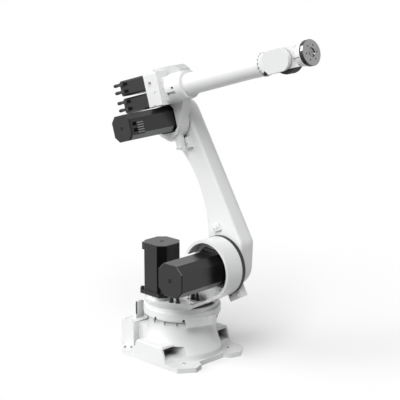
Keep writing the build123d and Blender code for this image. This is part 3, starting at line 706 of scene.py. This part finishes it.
@dataclass
class Assembly:
    """A body of the arm: its CAD nodes with their finishes and the pieces that dress them."""

    frame: dict[str, Any]
    joints: Joints
    body: str = ""

    def dress(self) -> None:
        """Give each CAD node of the body the first finish of its slot."""
        coats = {coat.value.slot: coat for coat in reversed(Coat)}
        slots = {part["node"]: part["material_slot"] for part in self.frame["record"]["subparts"]}
        for name in self.frame["record"]["behaviour"]["bodies"][self.body]:
            mesh = self.frame["nodes"][name].data
            mesh.materials.clear()
            mesh.materials.append(coats[slots[name]].made())

    def build(self) -> None:
        """Add the pieces of the body."""
        raise NotImplementedError

    def span(self, axes: Axes, node: str) -> Box:
        """Bounds of a CAD node in a local frame.

        Args:
            axes: The frame.
            node: Name of the node.

        Returns:
            Its box.
        """
        return axes.span(self.frame["nodes"][node])

    def pair(self, axes: Axes, node: str, reach: float, rise: float) -> list[Matrix]:
        """Two places side by side on the near side of a block.

        Args:
            axes: The frame.
            node: Name of the block's CAD node.
            reach: Distance of each from the middle.
            rise: Their height above the lower edge.

        Returns:
            The places.
        """
        box = self.span(axes, node)
        return grid(axes.side(box, NEAR), (-reach, reach), (box.low.z + rise - box.middle.z,))

    def add(self, name: str, solid: Solid, coat: Coat) -> None:
        """Add a piece that rides on the body.

        Args:
            name: Name of the piece.
            solid: Its shape; the mesh is freed.
            coat: Its finish.
        """
        data = bpy.data.meshes.new(name)
        bmesh.ops.recalc_face_normals(solid.mesh, faces=solid.mesh.faces)
        solid.mesh.to_mesh(data)
        solid.mesh.free()
        data.materials.append(coat.made())
        piece = bpy.data.objects.new(name, data)
        bpy.context.scene.collection.objects.link(piece)
        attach(piece, self.body)
        LOG.info("%s on %s, %d faces", name, self.body, len(data.polygons))

    def group(self, name: str, places: Iterable[Matrix], shape: Slab | Profile,
              coat: Coat = Coat.SCREW) -> None:
        """Add equal blocks or turned shapes as one piece.

        Args:
            name: Name of the piece.
            places: Where each stands.
            shape: Sizes of the blocks, or rings of the turned shapes.
            coat: Their finish.
        """
        solid = Solid()
        for place in places:
            if isinstance(shape, Slab):
                solid.block(place, shape)
            else:
                solid.turn(place, shape)
        self.add(name, solid, coat)

    def end_plugs(self, name: str, places: Sequence[Matrix], size: float) -> None:
        """Add a flush plug in the middle of motors' free ends.

        Args:
            name: Name of the piece.
            places: Middle of each end face.
            size: Width of the motors.
        """
        flush, depth, share = 0.2, 1.0, 0.06
        radius = share * size
        rings = [Ring(radius, -depth), Ring(radius, flush), Ring(radius / 2, flush, True),
                 Ring(radius / 2, -depth, True)]
        self.group(name, places, rings, Coat.MATT)

    def end_seams(self, name: str, places: Sequence[Matrix], size: float, corner: float, cap: float) -> None:
        """Add the joint of the end cap round motors.

        Args:
            name: Name of the piece.
            places: Middle of each end face.
            size: Width of the motors.
            corner: Length that their corners are cut by.
            cap: Depth of the end cap.
        """
        width, proud = 2.4, 0.5
        far = size / 2 + proud
        near = far - corner
        outline = [(far, -near), (far, near), (near, far), (-near, far), (-far, near), (-far, -near),
                   (-near, -far), (near, -far)]
        seams = Solid()
        for place in places:
            seams.prism(place, outline, -cap - width, -cap)
        self.add(name, seams, Coat.MOTOR)

    def motor_band(self, name: str, place: Matrix, length: float, corner: float) -> None:
        """Add a pale strip on a motor's lower chamfer: painted light standing in for the bright floor's
        bounce and reflection.

        Args:
            name: Name of the piece.
            place: Middle of the chamfer.
            length: Length along the motor.
            corner: Length that the motor's corners are cut by.
        """
        margin, depth, proud, edge = 4.0, 1.0, 0.6, 0.3
        width = corner * math.sqrt(2.0) - margin
        self.group(name, [place], Slab(length, width, -depth, proud, edge), Coat.BAND)


@dataclass
class Base(Assembly):
    """Cast base with the connector box; lengths in millimetres."""

    body: str = "base"
    lid_inset: Pair = (22.4, 14.0)
    lid_shift: float = 18.0
    panel_inset: float = 9.0
    panel_depth: float = 4.0
    socket_shift: float = 58.0
    insert: Slab = Slab(76.0, 26.0, -1.0, 9.0, 1.5)
    pin_counts: tuple[int, int] = (8, 3)
    pin_pitch: float = 8.4
    pin: Profile = (Ring(1.6, 8.0), Ring(1.6, 17.0), Ring(0.8, 18.5))
    pin_sides: int = 6
    trim: Slab = Slab(7.0, 0.0, -3.0, 1.0, 0.5)
    trim_share: float = 0.75
    foot_hole: Pair = (190.0, 178.0)
    foot_top: float = 28.0
    bush: Profile = (Ring(11.4, -14.0), Ring(11.4, 1.2), Ring(10.6, 2.0), Ring(7.5, 2.0), Ring(7.5, -9.0))
    rear_screws: tuple[Pair, ...] = ((-233.0, 225.0), (-207.0, 201.0))

    def build(self) -> None:
        """Add the details of the box, the sockets, the duct and the feet."""
        axes = self.joints.base
        box = self.span(axes, "connector_box")
        (along, aside), low, high = self.lid_inset, box.low, box.high
        lid = [axes.face((x, y, high.z), UP) for x in (low.x + along, box.middle.x + self.lid_shift)
               for y in (low.y + aside, high.y - aside)]
        self.group("box_lid_screws", lid, Screw.M6.rings, Coat.WHITE)
        self._panel(axes, low.x - self.panel_depth)
        low, high = self.span(axes, "cable_duct")
        trim = self.trim._replace(depth=self.trim_share * (high.z - low.z))
        place = axes.face((high.x, low.y + trim.width / 2, high.z - trim.depth / 2), FRONT)
        self.group("duct_edge_trim", [place], trim, Coat.BLACK)
        x, y = self.foot_hole
        holes = [axes.face((i * x, j * y, self.foot_top), UP) for i, j in CORNERS]
        self.group("foot_bushes", holes, self.bush, Coat.BRIGHT)
        seats = [axes.face((x, side * y, self.foot_top), UP) for x, y in self.rear_screws for side in (-1, 1)]
        self.group("rear_foot_screws", seats, Screw.M8.rings, Coat.FLANGE)

    def _panel(self, axes: Axes, plate: float) -> None:
        """Screws of the rear panel and the contacts in its sockets.

        Args:
            axes: Frame of the base.
            plate: Where the sockets end in the panel.
        """
        panel = self.span(axes, "connector_panel")
        low, high, inset = panel.low, panel.high, self.panel_inset
        seats = [axes.face((plate, y, z), REAR) for y in (low.y + inset, 0.0, high.y - inset)
                 for z in (low.z + inset, high.z - inset)]
        self.group("panel_screws", seats, Screw.M5.rings)
        columns, rows = ([(step - (count - 1) / 2) * self.pin_pitch for step in range(count)]
                         for count in self.pin_counts)
        contacts = Solid()
        for side in (-1, 1):
            place = axes.face((plate, side * self.socket_shift, panel.middle.z), REAR)
            contacts.block(place, self.insert)
            for spot in grid(place, columns, rows):
                contacts.turn(spot, self.pin, self.pin_sides)
        self.add("socket_contacts", contacts, Coat.FLANGE)


@dataclass
class Turret(Assembly):
    """Turning ring, upright, and the motors of the first two axes; lengths in millimetres."""

    body: str = "turret"
    stud_count: int = 18
    stud_start: float = -53.5
    stud_inset: float = 14.0
    stud: Profile = (Ring(6.5, -5.0, True), Ring(6.5, 6.0, True), Ring(5.6, 7.0), Ring(4.0, 7.0),
                     Ring(4.0, 19.0), Ring(3.2, 20.0))
    plug_count: int = 8
    plug_start: float = -88.0
    plug_rise: float = 14.0
    plug: Slab = Slab(14.0, 14.0, -9.0, 0.8, 1.0)
    plug_socket: Profile = (Ring(4.4, 0.0), Ring(4.4, 1.2), Ring(2.5, 1.2, True), Ring(2.5, 0.2, True))
    stop_range: Pair = (-41.0, 12.0)
    flange_reach: Pair = (-78.5, 78.5)
    motor_size: float = 180.0
    motor_corner: float = 40.0
    band_inset: float = 6.0
    nut_width: float = 2.5
    nut_height: float = 8.0
    nut_edge: float = 1.5
    rib_shares: tuple[float, ...] = (0.36, 0.48, 0.6)
    rib_width: float = 3.0
    rib_depth: float = 1.2
    bracket_shares: Pair = (0.3, 0.75)

    def build(self) -> None:
        """Add studs, plugs, screws and the details of motors and couplings."""
        self._ring()
        self._motors()
        self._couplings()

    def _free_spots(self, radius: float, count: int, start: float) -> list[Pair]:
        """Even places round the ring that are clear of the stop.

        Args:
            radius: Radius of their circle.
            count: Number of places in a full turn.
            start: Angle of the first, in degrees.

        Returns:
            The places that are left.
        """
        low, high = self.stop_range
        return [(x, y) for x, y in round_spots(radius, count, start)
                if not low < math.degrees(math.atan2(y, x)) < high]

    def _ring(self) -> None:
        """Studs with nuts under the ring, and square plugs in its rim."""
        axes = self.joints.base
        radius = self.span(axes, "turret_ring").high.y
        under = self.span(axes, "axis_1_gearbox").high.z
        spots = self._free_spots(radius - self.stud_inset, self.stud_count, self.stud_start)
        self.group("ring_studs", [axes.face((x, y, under), DOWN) for x, y in spots], self.stud, Coat.FLANGE)
        plugs = Solid()
        for x, y in self._free_spots(radius, self.plug_count, self.plug_start):
            place = axes.face((x, y, under + self.plug_rise), (x, y, 0.0))
            plugs.block(place, self.plug)
            plugs.turn(place, self.plug_socket)
        self.add("rim_plugs", plugs, Coat.BLACK)

    def _motors(self) -> None:
        """Flange screws and free ends of both motors, and the painted floor sheen on the lower chamfer of the
        second.
        """
        axes, reach = self.joints.base, self.flange_reach
        for axis, normal in ((1, UP), (2, NEAR)):
            flange = self.span(axes, f"axis_{axis}_motor_flange")
            seats = grid(axes.side(flange, normal), reach, reach)
            self.group(f"axis_{axis}_flange_screws", seats, Screw.M12.rings)
            motor = self.span(axes, f"axis_{axis}_motor")
            self.end_plugs(f"axis_{axis}_motor_plug_mark", [axes.side(motor, normal)], self.motor_size)
        # Painted floor sheen on the lower chamfer of the second motor.
        out = (self.motor_size - self.motor_corner) / 2
        place = axes.face(motor.middle + Vector((out, 0.0, -out)), LOWER_FRONT)
        length = motor.high.y - motor.low.y - 2 * self.band_inset
        self.motor_band("axis_2_motor_band", place, length, self.motor_corner)

    def _couplings(self) -> None:
        """Hexagon collars and ribs of the hose couplings, and the bracket's screws."""
        axes = self.joints.base
        ribs = Solid()
        for box in islands(self.frame["nodes"]["hose_couplings"], axes):
            wide, tall = (box.high.x - box.low.x) / 2, box.high.z - box.low.z
            nut, top = wide + self.nut_width, self.nut_height
            place = axes.face((box.middle.x, box.middle.y, box.low.z), UP)
            ribs.turn(place, [Ring(nut, 0.0, True), Ring(nut, top, True),
                              Ring(nut - self.nut_edge, top + self.nut_edge)])
            for share in self.rib_shares:
                ribs.turn(place, ridge(wide, wide + self.rib_depth, share * tall, self.rib_width))
        self.add("coupling_ribs", ribs, Coat.BLACK)
        bracket = self.span(axes, "hose_bracket")
        tall = bracket.high.z - bracket.low.z
        rows = [(share - 0.5) * tall for share in self.bracket_shares]
        self.group("bracket_screws", grid(axes.side(bracket, NEAR), (0.0,), rows), Screw.M5.rings)


@dataclass
class LowerArm(Assembly):
    """Curved lower arm; lengths in millimetres."""

    body: str = "lower_arm"
    cap_screw_count: int = 8
    cap_screw_start: float = 22.5
    cap_screw_inset: float = 14.0
    lug_share: float = 0.26
    bumper_share: float = 0.25
    stop_screw: Pair = (28.0, 24.0)

    def build(self) -> None:
        """Add the screws of caps, lug, stop and bumper."""
        axes = self.joints.shoulder
        seats = []
        for name in ("arm_shoulder_cap", "arm_elbow_cap"):
            cap = self.span(axes, name)
            radius = (cap.high.x - cap.low.x) / 2 - self.cap_screw_inset
            spots = round_spots(radius, self.cap_screw_count, self.cap_screw_start)
            seats += [axes.face((x, cap.high.y, z + cap.middle.z), FAR) for x, z in spots]
        self.group("cap_screws", seats, Screw.M8.rings)
        blocks = []
        for name, share in (("arm_lug", self.lug_share), ("elbow_bumper", self.bumper_share)):
            low, high = self.span(axes, name)
            blocks += self.pair(axes, name, share * (high.x - low.x), (high.z - low.z) / 2)
        self.group("block_screws", blocks, Screw.M8.rings, Coat.WHITE)
        stop = self.pair(axes, "arm_stop", *self.stop_screw)
        self.group("arm_stop_screws", stop, Screw.M12.rings, Coat.WHITE)


@dataclass
class Elbow(Assembly):
    """Elbow with its motor, the wrist gear case and the wrist motors; lengths in millimetres."""

    body: str = "elbow"
    motor_size: float = 142.0
    motor_corner: float = 30.0
    end_cap: float = 9.0
    wrist_motor_corner: float = 9.0
    wrist_end_cap: float = 30.0
    band_ends: Pair = (14.0, 30.0)
    # Black sheet and matt patches: painted shade of the motor's recessed cooling area and its openings.
    window: Slab = Slab(82.0, 78.0, -1.0, 0.8, 0.4)
    window_spots: Spots = ((56.0,), (-10.0,))
    fin: Slab = Slab(46.0, 3.6, -1.0, 3.2, 0.8)
    fin_spots: Spots = ((73.0,), (-37.0, -24.0, -11.0, 2.0, 15.0))
    opening: Slab = Slab(28.0, 20.0, 0.0, 1.4, 0.3)
    opening_spots: Spots = ((34.0,), (12.0, -22.0))
    case_inset: float = 16.0
    large_screw: Pair = (44.0, 52.0)
    small_screws: tuple[Pair, ...] = ((86.0, 158.0), (66.0, 88.0))
    barrel_screw: Pair = (215.0, 157.0)
    stop_screw: Pair = (13.0, 22.0)
    knurl_levels: tuple[float, ...] = (-20.0, -17.0, -14.0, -11.0, -8.0)
    knurl_width: float = 2.6
    knurl_depths: Pair = (0.2, 1.0)

    def build(self) -> None:
        """Add motor details, case screws and plug nuts."""
        self._elbow_motor()
        self._wrist_motors()
        self._case()
        self._plugs()

    def _elbow_motor(self) -> None:
        """Free end, cooling fins and painted light of the elbow motor: a black sheet and matt patches as
        painted shade of its cooling recess and openings, and a painted floor sheen on its lower chamfer.
        """
        axes = self.joints.elbow
        low, high = self.span(axes, "axis_3_motor")
        face = [axes.face((0.0, low.y, 0.0), NEAR)]
        self.end_plugs("axis_3_motor_plug_mark", face, self.motor_size)
        self.end_seams("axis_3_motor_seam", face, self.motor_size, self.motor_corner, self.end_cap)
        front = axes.face((high.x, low.y, 0.0), FRONT)
        # The black sheet and the matt patches paint the shade of the cooling recess and its openings; the
        # fins are ribs.
        for name, spots, slab, coat in (("window", self.window_spots, self.window, Coat.BLACK),
                                        ("fins", self.fin_spots, self.fin, Coat.FLANGE),
                                        ("openings", self.opening_spots, self.opening, Coat.MATT)):
            self.group(f"axis_3_motor_{name}", grid(front, *spots), slab, coat)
        # Painted floor sheen on the lower chamfer of the elbow motor.
        out = (self.motor_size - self.motor_corner) / 2
        start, end = low.y + self.band_ends[0], high.y - self.band_ends[1]
        place = axes.face((out, (start + end) / 2, -out), LOWER_FRONT)
        self.motor_band("axis_3_motor_band", place, end - start, self.motor_corner)

    def _wrist_motors(self) -> None:
        """Free ends of the three wrist motors."""
        axes = self.joints.elbow
        motors = [self.span(axes, f"axis_{axis}_motor") for axis in (4, 5, 6)]
        ends = [axes.side(motor, REAR) for motor in motors]
        size = motors[-1].high.z - motors[-1].low.z
        self.end_plugs("wrist_motor_plug_marks", ends, size)
        self.end_seams("wrist_motor_seams", ends, size, self.wrist_motor_corner, self.wrist_end_cap)

    def _case(self) -> None:
        """Screws in the gear case, the housing and the stop lug."""
        axes, inset = self.joints.elbow, self.case_inset
        low, high = self.span(axes, "wrist_gear_case")
        along, drop = self.large_screw
        large = axes.face((low.x + along, low.y, high.z - drop), NEAR)
        self.group("case_side_screw", [large], Screw.M8.rings, Coat.FLANGE)
        small = [axes.face((x, low.y, z), NEAR) for x, z in self.small_screws]
        self.group("case_small_screws", small, Screw.M5.rings, Coat.HOOD)
        along, height = self.barrel_screw
        root = self.span(self.joints.wrist, "forearm_collar").low.y
        self.group("barrel_screw", [axes.face((along, root, height), NEAR)], Screw.M6.rings)
        rear = [axes.face((low.x, y, z), REAR) for y in (low.y + inset / 2, high.y - inset / 2)
                for z in (low.z + inset / 2, high.z - inset / 2)]
        top = [axes.face((x, y, high.z), UP) for x in (low.x + inset, high.x - inset)
               for y in (low.y + inset, high.y - inset)]
        self.group("case_screws", rear + top, Screw.M6.rings, Coat.WHITE)
        stop = self.pair(axes, "elbow_stop", *self.stop_screw)
        self.group("elbow_stop_screws", stop, Screw.M8.rings, Coat.WHITE)

    def _plugs(self) -> None:
        """Ribbed nuts on the round plugs of the wrist motors."""
        axes = self.joints.elbow
        nuts = Solid()
        for box in islands(self.frame["nodes"]["wrist_motor_plugs"], axes):
            root, crest = ((box.high.z - box.low.z) / 2 + depth for depth in self.knurl_depths)
            rings = [ring for level in self.knurl_levels
                     for ring in ridge(root, crest, level, self.knurl_width)]
            nuts.turn(axes.side(box, REAR), rings)
        self.add("wrist_plug_nuts", nuts, Coat.BLACK)


@dataclass
class Forearm(Assembly):
    """Forearm tube and wrist fork; lengths in millimetres."""

    body: str = "forearm"
    ring_screw_count: int = 18
    ring_screw_start: float = 10.0
    ring_screw_inset: float = 3.5

    def build(self) -> None:
        """Add the screws of the bolted ring."""
        axes = self.joints.wrist
        high = self.span(axes, "wrist_end_flange").high
        spots = round_spots(high.y - self.ring_screw_inset, self.ring_screw_count, self.ring_screw_start)
        seats = [axes.face((high.x, y, z), FRONT) for y, z in spots]
        self.group("end_flange_screws", seats, Screw.M5.rings, Coat.FLANGE)


@dataclass
class Hand(Assembly):
    """Tilting hand with its guard; lengths in millimetres."""

    body: str = "hand"
    rib_count: int = 3
    rib_steps: int = 20
    rib_width: float = 5.0
    rib_height: float = 1.6
    rib_ends: Pair = (0.96, 0.94)
    seam_path: tuple[Pair, ...] = ((66.0, -38.5), (72.0, -38.5), (74.0, -45.7), (100.0, -60.5),
                                   (124.0, -60.5))
    seam_level: float = -12.0
    seam_width: float = 2.5
    seam_depth: float = 4.0

    def build(self) -> None:
        """Add the ribs of the guard and the joint line of the hand."""
        axes = self.joints.wrist
        low, high = self.span(axes, "hand_guard")
        radius = -low.z
        start, end = (math.acos(x / radius * share) for x, share in zip((low.x, high.x), self.rib_ends))
        angles = [-(start + (end - start) * step / self.rib_steps) for step in range(self.rib_steps + 1)]
        outer, inner = ([(size * math.cos(angle), size * math.sin(angle)) for angle in angles]
                        for size in (radius + self.rib_height, radius - self.rib_height))
        outline = outer + inner[::-1]
        ribs, seam = Solid(), Solid()
        for step in range(self.rib_count):
            level = low.y + (high.y - low.y) * (step + 0.5) / self.rib_count
            ribs.prism(axes.face((0.0, level, 0.0), NEAR), outline, -self.rib_width / 2, self.rib_width / 2)
        self.add("guard_ribs", ribs, Coat.BLACK)
        inner = [(x, y + self.seam_depth) for x, y in reversed(self.seam_path)]
        place = axes.matrix @ Matrix.Translation((0.0, 0.0, self.seam_level))
        seam.prism(place, list(self.seam_path) + inner, 0.0, self.seam_width)
        self.add("hand_seam", seam, Coat.BLACK)


@dataclass
class Flange(Assembly):
    """Round tool flange; lengths in millimetres."""

    body: str = "flange"
    pilot_depth: float = 6.0
    bush: Profile = (Ring(13.0, -1.0), Ring(13.0, 2.0), Ring(11.5, 3.0), Ring(7.0, 3.0), Ring(7.0, 0.5))
    pin: Profile = (Ring(5.0, -1.0), Ring(5.0, 5.0), Ring(4.0, 6.0))
    pin_spot: Pair = (19.0, -9.0)
    # Plate on the rim: partly a zero mark, partly a painted highlight for the rim's glint.
    mark: Slab = Slab(11.0, 26.0, -4.0, 0.6, 0.3)
    mark_angle: float = 155.0
    mark_inset: float = 7.0

    def dress(self) -> None:
        """Give the flange a ground face and a rim that is darkened where its faces turn away from the axis.
        """
        super().dress()
        steel = Coat.FLANGE.value
        axis = self.joints.wrist.matrix.col[0].to_3d().normalized()
        disc = GroundDisc("flange_disc", steel.slot, steel.level, steel.metallic, steel.rough, steel.marks,
                          axis=tuple(axis))
        self.frame["nodes"]["tool_flange"].data.materials[0] = disc.make()

    def build(self) -> None:
        """Add the bush and the dowel pin in the pilot, and a bright plate on the rim: partly a zero mark,
        partly a painted highlight standing in for a glint.
        """
        axes = self.joints.wrist
        high = self.span(axes, "tool_flange").high
        floor = high.x - self.pilot_depth
        self.group("flange_bush", [axes.face((floor, 0.0, 0.0), FRONT)], self.bush, Coat.FLANGE)
        bright = Solid()
        bright.turn(axes.face((floor, *self.pin_spot), FRONT), self.pin)
        # Bright plate on the rim: partly a zero mark, partly a painted highlight for the rim's glint.
        y, z = round_spots(high.y, 1, self.mark_angle)[0]
        bright.block(axes.face((high.x - self.mark_inset, y, z), (0.0, y, z)), self.mark)
        self.add("flange_bright_marks", bright, Coat.BRIGHT)


def islands(node: bpy.types.Object, axes: Axes) -> list[Box]:
    """Bounds of each separate solid in a CAD node.

    Args:
        node: The node.
        axes: Frame to measure in.

    Returns:
        The box of each.
    """
    back = axes.matrix.inverted()
    mesh = bmesh.new()
    mesh.from_mesh(node.data)
    bmesh.ops.remove_doubles(mesh, verts=mesh.verts, dist=1e-5)
    left, boxes = set(mesh.verts), []
    while left:
        group, queue = set(), [left.pop()]
        while queue:
            vertex = queue.pop()
            group.add(vertex)
            near = {edge.other_vert(vertex) for edge in vertex.link_edges} & left
            left -= near
            queue += near
        boxes.append(Box.of([back @ vertex.co for vertex in group]))
    mesh.free()
    return boxes


@dataclass(frozen=True)
class Lamp:
    """A wide soft lamp far away."""

    name: str
    power: float
    spread: float
    heading: Point


@dataclass
class Studio:
    """Floor, light and camera of a white studio that is dark behind the camera."""

    floor_size: float = 120.0
    floor_level: float = 0.8
    floor_bounce: float = 0.47
    floor_glow: float = 0.23
    sky: float = 0.24
    floor_cloud: float = 0.004
    floor_cloud_scale: float = 3.0
    horizon: float = 0.01
    dark_range: Pair = (0.45, 0.85)
    lamps: tuple[Lamp, ...] = (Lamp("key_lamp", 2.2, 38.0, (0.15, 0.58, -0.8)),
                               Lamp("side_lamp", 1.45, 40.0, (0.93, 0.12, -0.35)))
    camera_place: Point = (5.7171, -5.7671, 3.0144)
    camera_target: Point = (0.07225, 0.06986, 0.8895)
    lens: float = 136.96
    sensor_width: float = 36.0

    def build(self) -> None:
        """Make everything that isn't part of the arm."""
        self._floor()
        self._world()
        for lamp in self.lamps:
            self._hang(lamp)
        self._camera()
        bpy.context.scene.view_settings.view_transform = "Standard"

    def _turned(self, across: float, back: float, up: float) -> Vector:
        """Direction given by the camera's side.

        Args:
            across: Share to the right.
            back: Share away from the camera.
            up: Share upwards.

        Returns:
            The direction in the model's frame.
        """
        view = Vector(self.camera_target) - Vector(self.camera_place)
        away = Vector((view.x, view.y, 0.0)).normalized()
        right = Vector((away.y, -away.x, 0.0))
        return (right * across + away * back + Vector((0.0, 0.0, up))).normalized()

    def _unlit_front(self, shader: Shader, direction: Value) -> Value:
        """Brightness of what shiny faces mirror: dark on the camera's side of the studio.

        Args:
            shader: The tree to add to.
            direction: Direction from the arm.

        Returns:
            A grey up to white.
        """
        level = shader.node("ShaderNodeVectorMath", {"operation": "MULTIPLY"},
                            {0: direction, 1: (1.0, 1.0, 0.0)})
        unit = shader.node("ShaderNodeVectorMath", {"operation": "NORMALIZE"}, {0: level})
        front = shader.node("ShaderNodeVectorMath", {"operation": "DOT_PRODUCT"},
                            {0: unit, 1: self._turned(0.0, -1.0, 0.0)}, "Value")
        return shader.mix_colour(front.clamped(*self.dark_range), grey(1.0), grey(0.0))

    def _floor(self) -> None:
        """Pale floor that shows white to the camera and keeps the shadow."""
        half = self.floor_size / 2
        data = bpy.data.meshes.new("studio_floor")
        data.from_pydata([(x * half, y * half, 0.0) for x, y in CORNERS], [], [(0, 1, 2, 3)])
        floor = bpy.data.objects.new("studio_floor", data)
        bpy.context.scene.collection.objects.link(floor)
        material = bpy.data.materials.new("studio_floor")
        material.use_nodes = True
        shader = Shader(material.node_tree)
        level, cloud = self.floor_level, self.floor_cloud
        noise = shader.noise(self.floor_cloud_scale)
        colour = shader.mix_colour(noise, grey(level - cloud), grey(level + cloud))
        lit = shader.node("ShaderNodeBsdfDiffuse", {}, {"Color": colour})
        glow = shader.node("ShaderNodeEmission", {}, {"Color": grey(1.0), "Strength": self.floor_glow})
        both = shader.node("ShaderNodeAddShader", {}, {0: lit, 1: glow})
        bounce = shader.node("ShaderNodeBsdfDiffuse", {}, {"Color": grey(self.floor_bounce)})
        camera = shader.node("ShaderNodeLightPath", output="Is Camera Ray")
        direct = shader.node("ShaderNodeMixShader", {}, {0: camera, 1: bounce, 2: both})
        place = shader.node("ShaderNodeNewGeometry", output="Position")
        mirrored = shader.node("ShaderNodeEmission", {}, {"Color": self._unlit_front(shader, place)})
        gloss = shader.node("ShaderNodeLightPath", output="Is Glossy Ray")
        shown = shader.node("ShaderNodeMixShader", {}, {0: gloss, 1: direct, 2: mirrored})
        shader.node("ShaderNodeOutputMaterial", {}, {"Surface": shown})
        data.materials.append(material)
        floor.visible_shadow = False

    def _world(self) -> None:
        """White backdrop; the arm is lit by a wide soft box and mirrors a dark camera side."""
        world = bpy.data.worlds.new("studio_sky")
        world.use_nodes = True
        bpy.context.scene.world = world
        shader = Shader(world.node_tree)
        direction = shader.node("ShaderNodeTexCoord", output="Generated")
        gloss = shader.node("ShaderNodeLightPath", output="Is Glossy Ray")
        mirrored = self._unlit_front(shader, direction)
        height = shader.node("ShaderNodeSeparateXYZ", {}, {0: direction}, "Z")
        soft_box = shader.mix_colour(height.clamped(-self.horizon, self.horizon), grey(0.0), grey(self.sky))
        lit = shader.mix_colour(gloss, soft_box, mirrored)
        seen = shader.node("ShaderNodeLightPath", output="Is Camera Ray").maximum(
            shader.node("ShaderNodeLightPath", output="Is Transmission Ray"))
        colour = shader.mix_colour(seen, lit, grey(1.0))
        back_drop = shader.node("ShaderNodeBackground", {}, {"Color": colour})
        shader.node("ShaderNodeOutputWorld", {}, {"Surface": back_drop})

    def _hang(self, lamp: Lamp) -> None:
        """Hang one lamp.

        Args:
            lamp: Which lamp; its heading is given by the camera's side.
        """
        light = bpy.data.lights.new(lamp.name, "SUN")
        light.energy = lamp.power
        light.angle = math.radians(lamp.spread)
        hung = bpy.data.objects.new(lamp.name, light)
        hung.rotation_euler = self._turned(*lamp.heading).to_track_quat("-Z", "Y").to_euler()
        bpy.context.scene.collection.objects.link(hung)

    def _camera(self) -> None:
        """Camera at the photo's place."""
        data = bpy.data.cameras.new("camera")
        data.lens = self.lens
        data.sensor_width = self.sensor_width
        camera = bpy.data.objects.new("camera", data)
        camera.location = self.camera_place
        heading = Vector(self.camera_target) - Vector(self.camera_place)
        camera.rotation_euler = heading.to_track_quat("-Z", "Y").to_euler()
        bpy.context.scene.collection.objects.link(camera)
        bpy.context.scene.camera = camera


def main() -> None:
    """Dress the arm and set up the studio."""
    logging.basicConfig(level=logging.INFO, format="%(message)s")
    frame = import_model()
    joints = Joints.read(frame["record"])
    for kind in (Base, Turret, LowerArm, Elbow, Forearm, Hand, Flange):
        group = kind(frame, joints)
        group.dress()
        group.build()
    Studio().build()


if __name__ == "__main__":
    main()
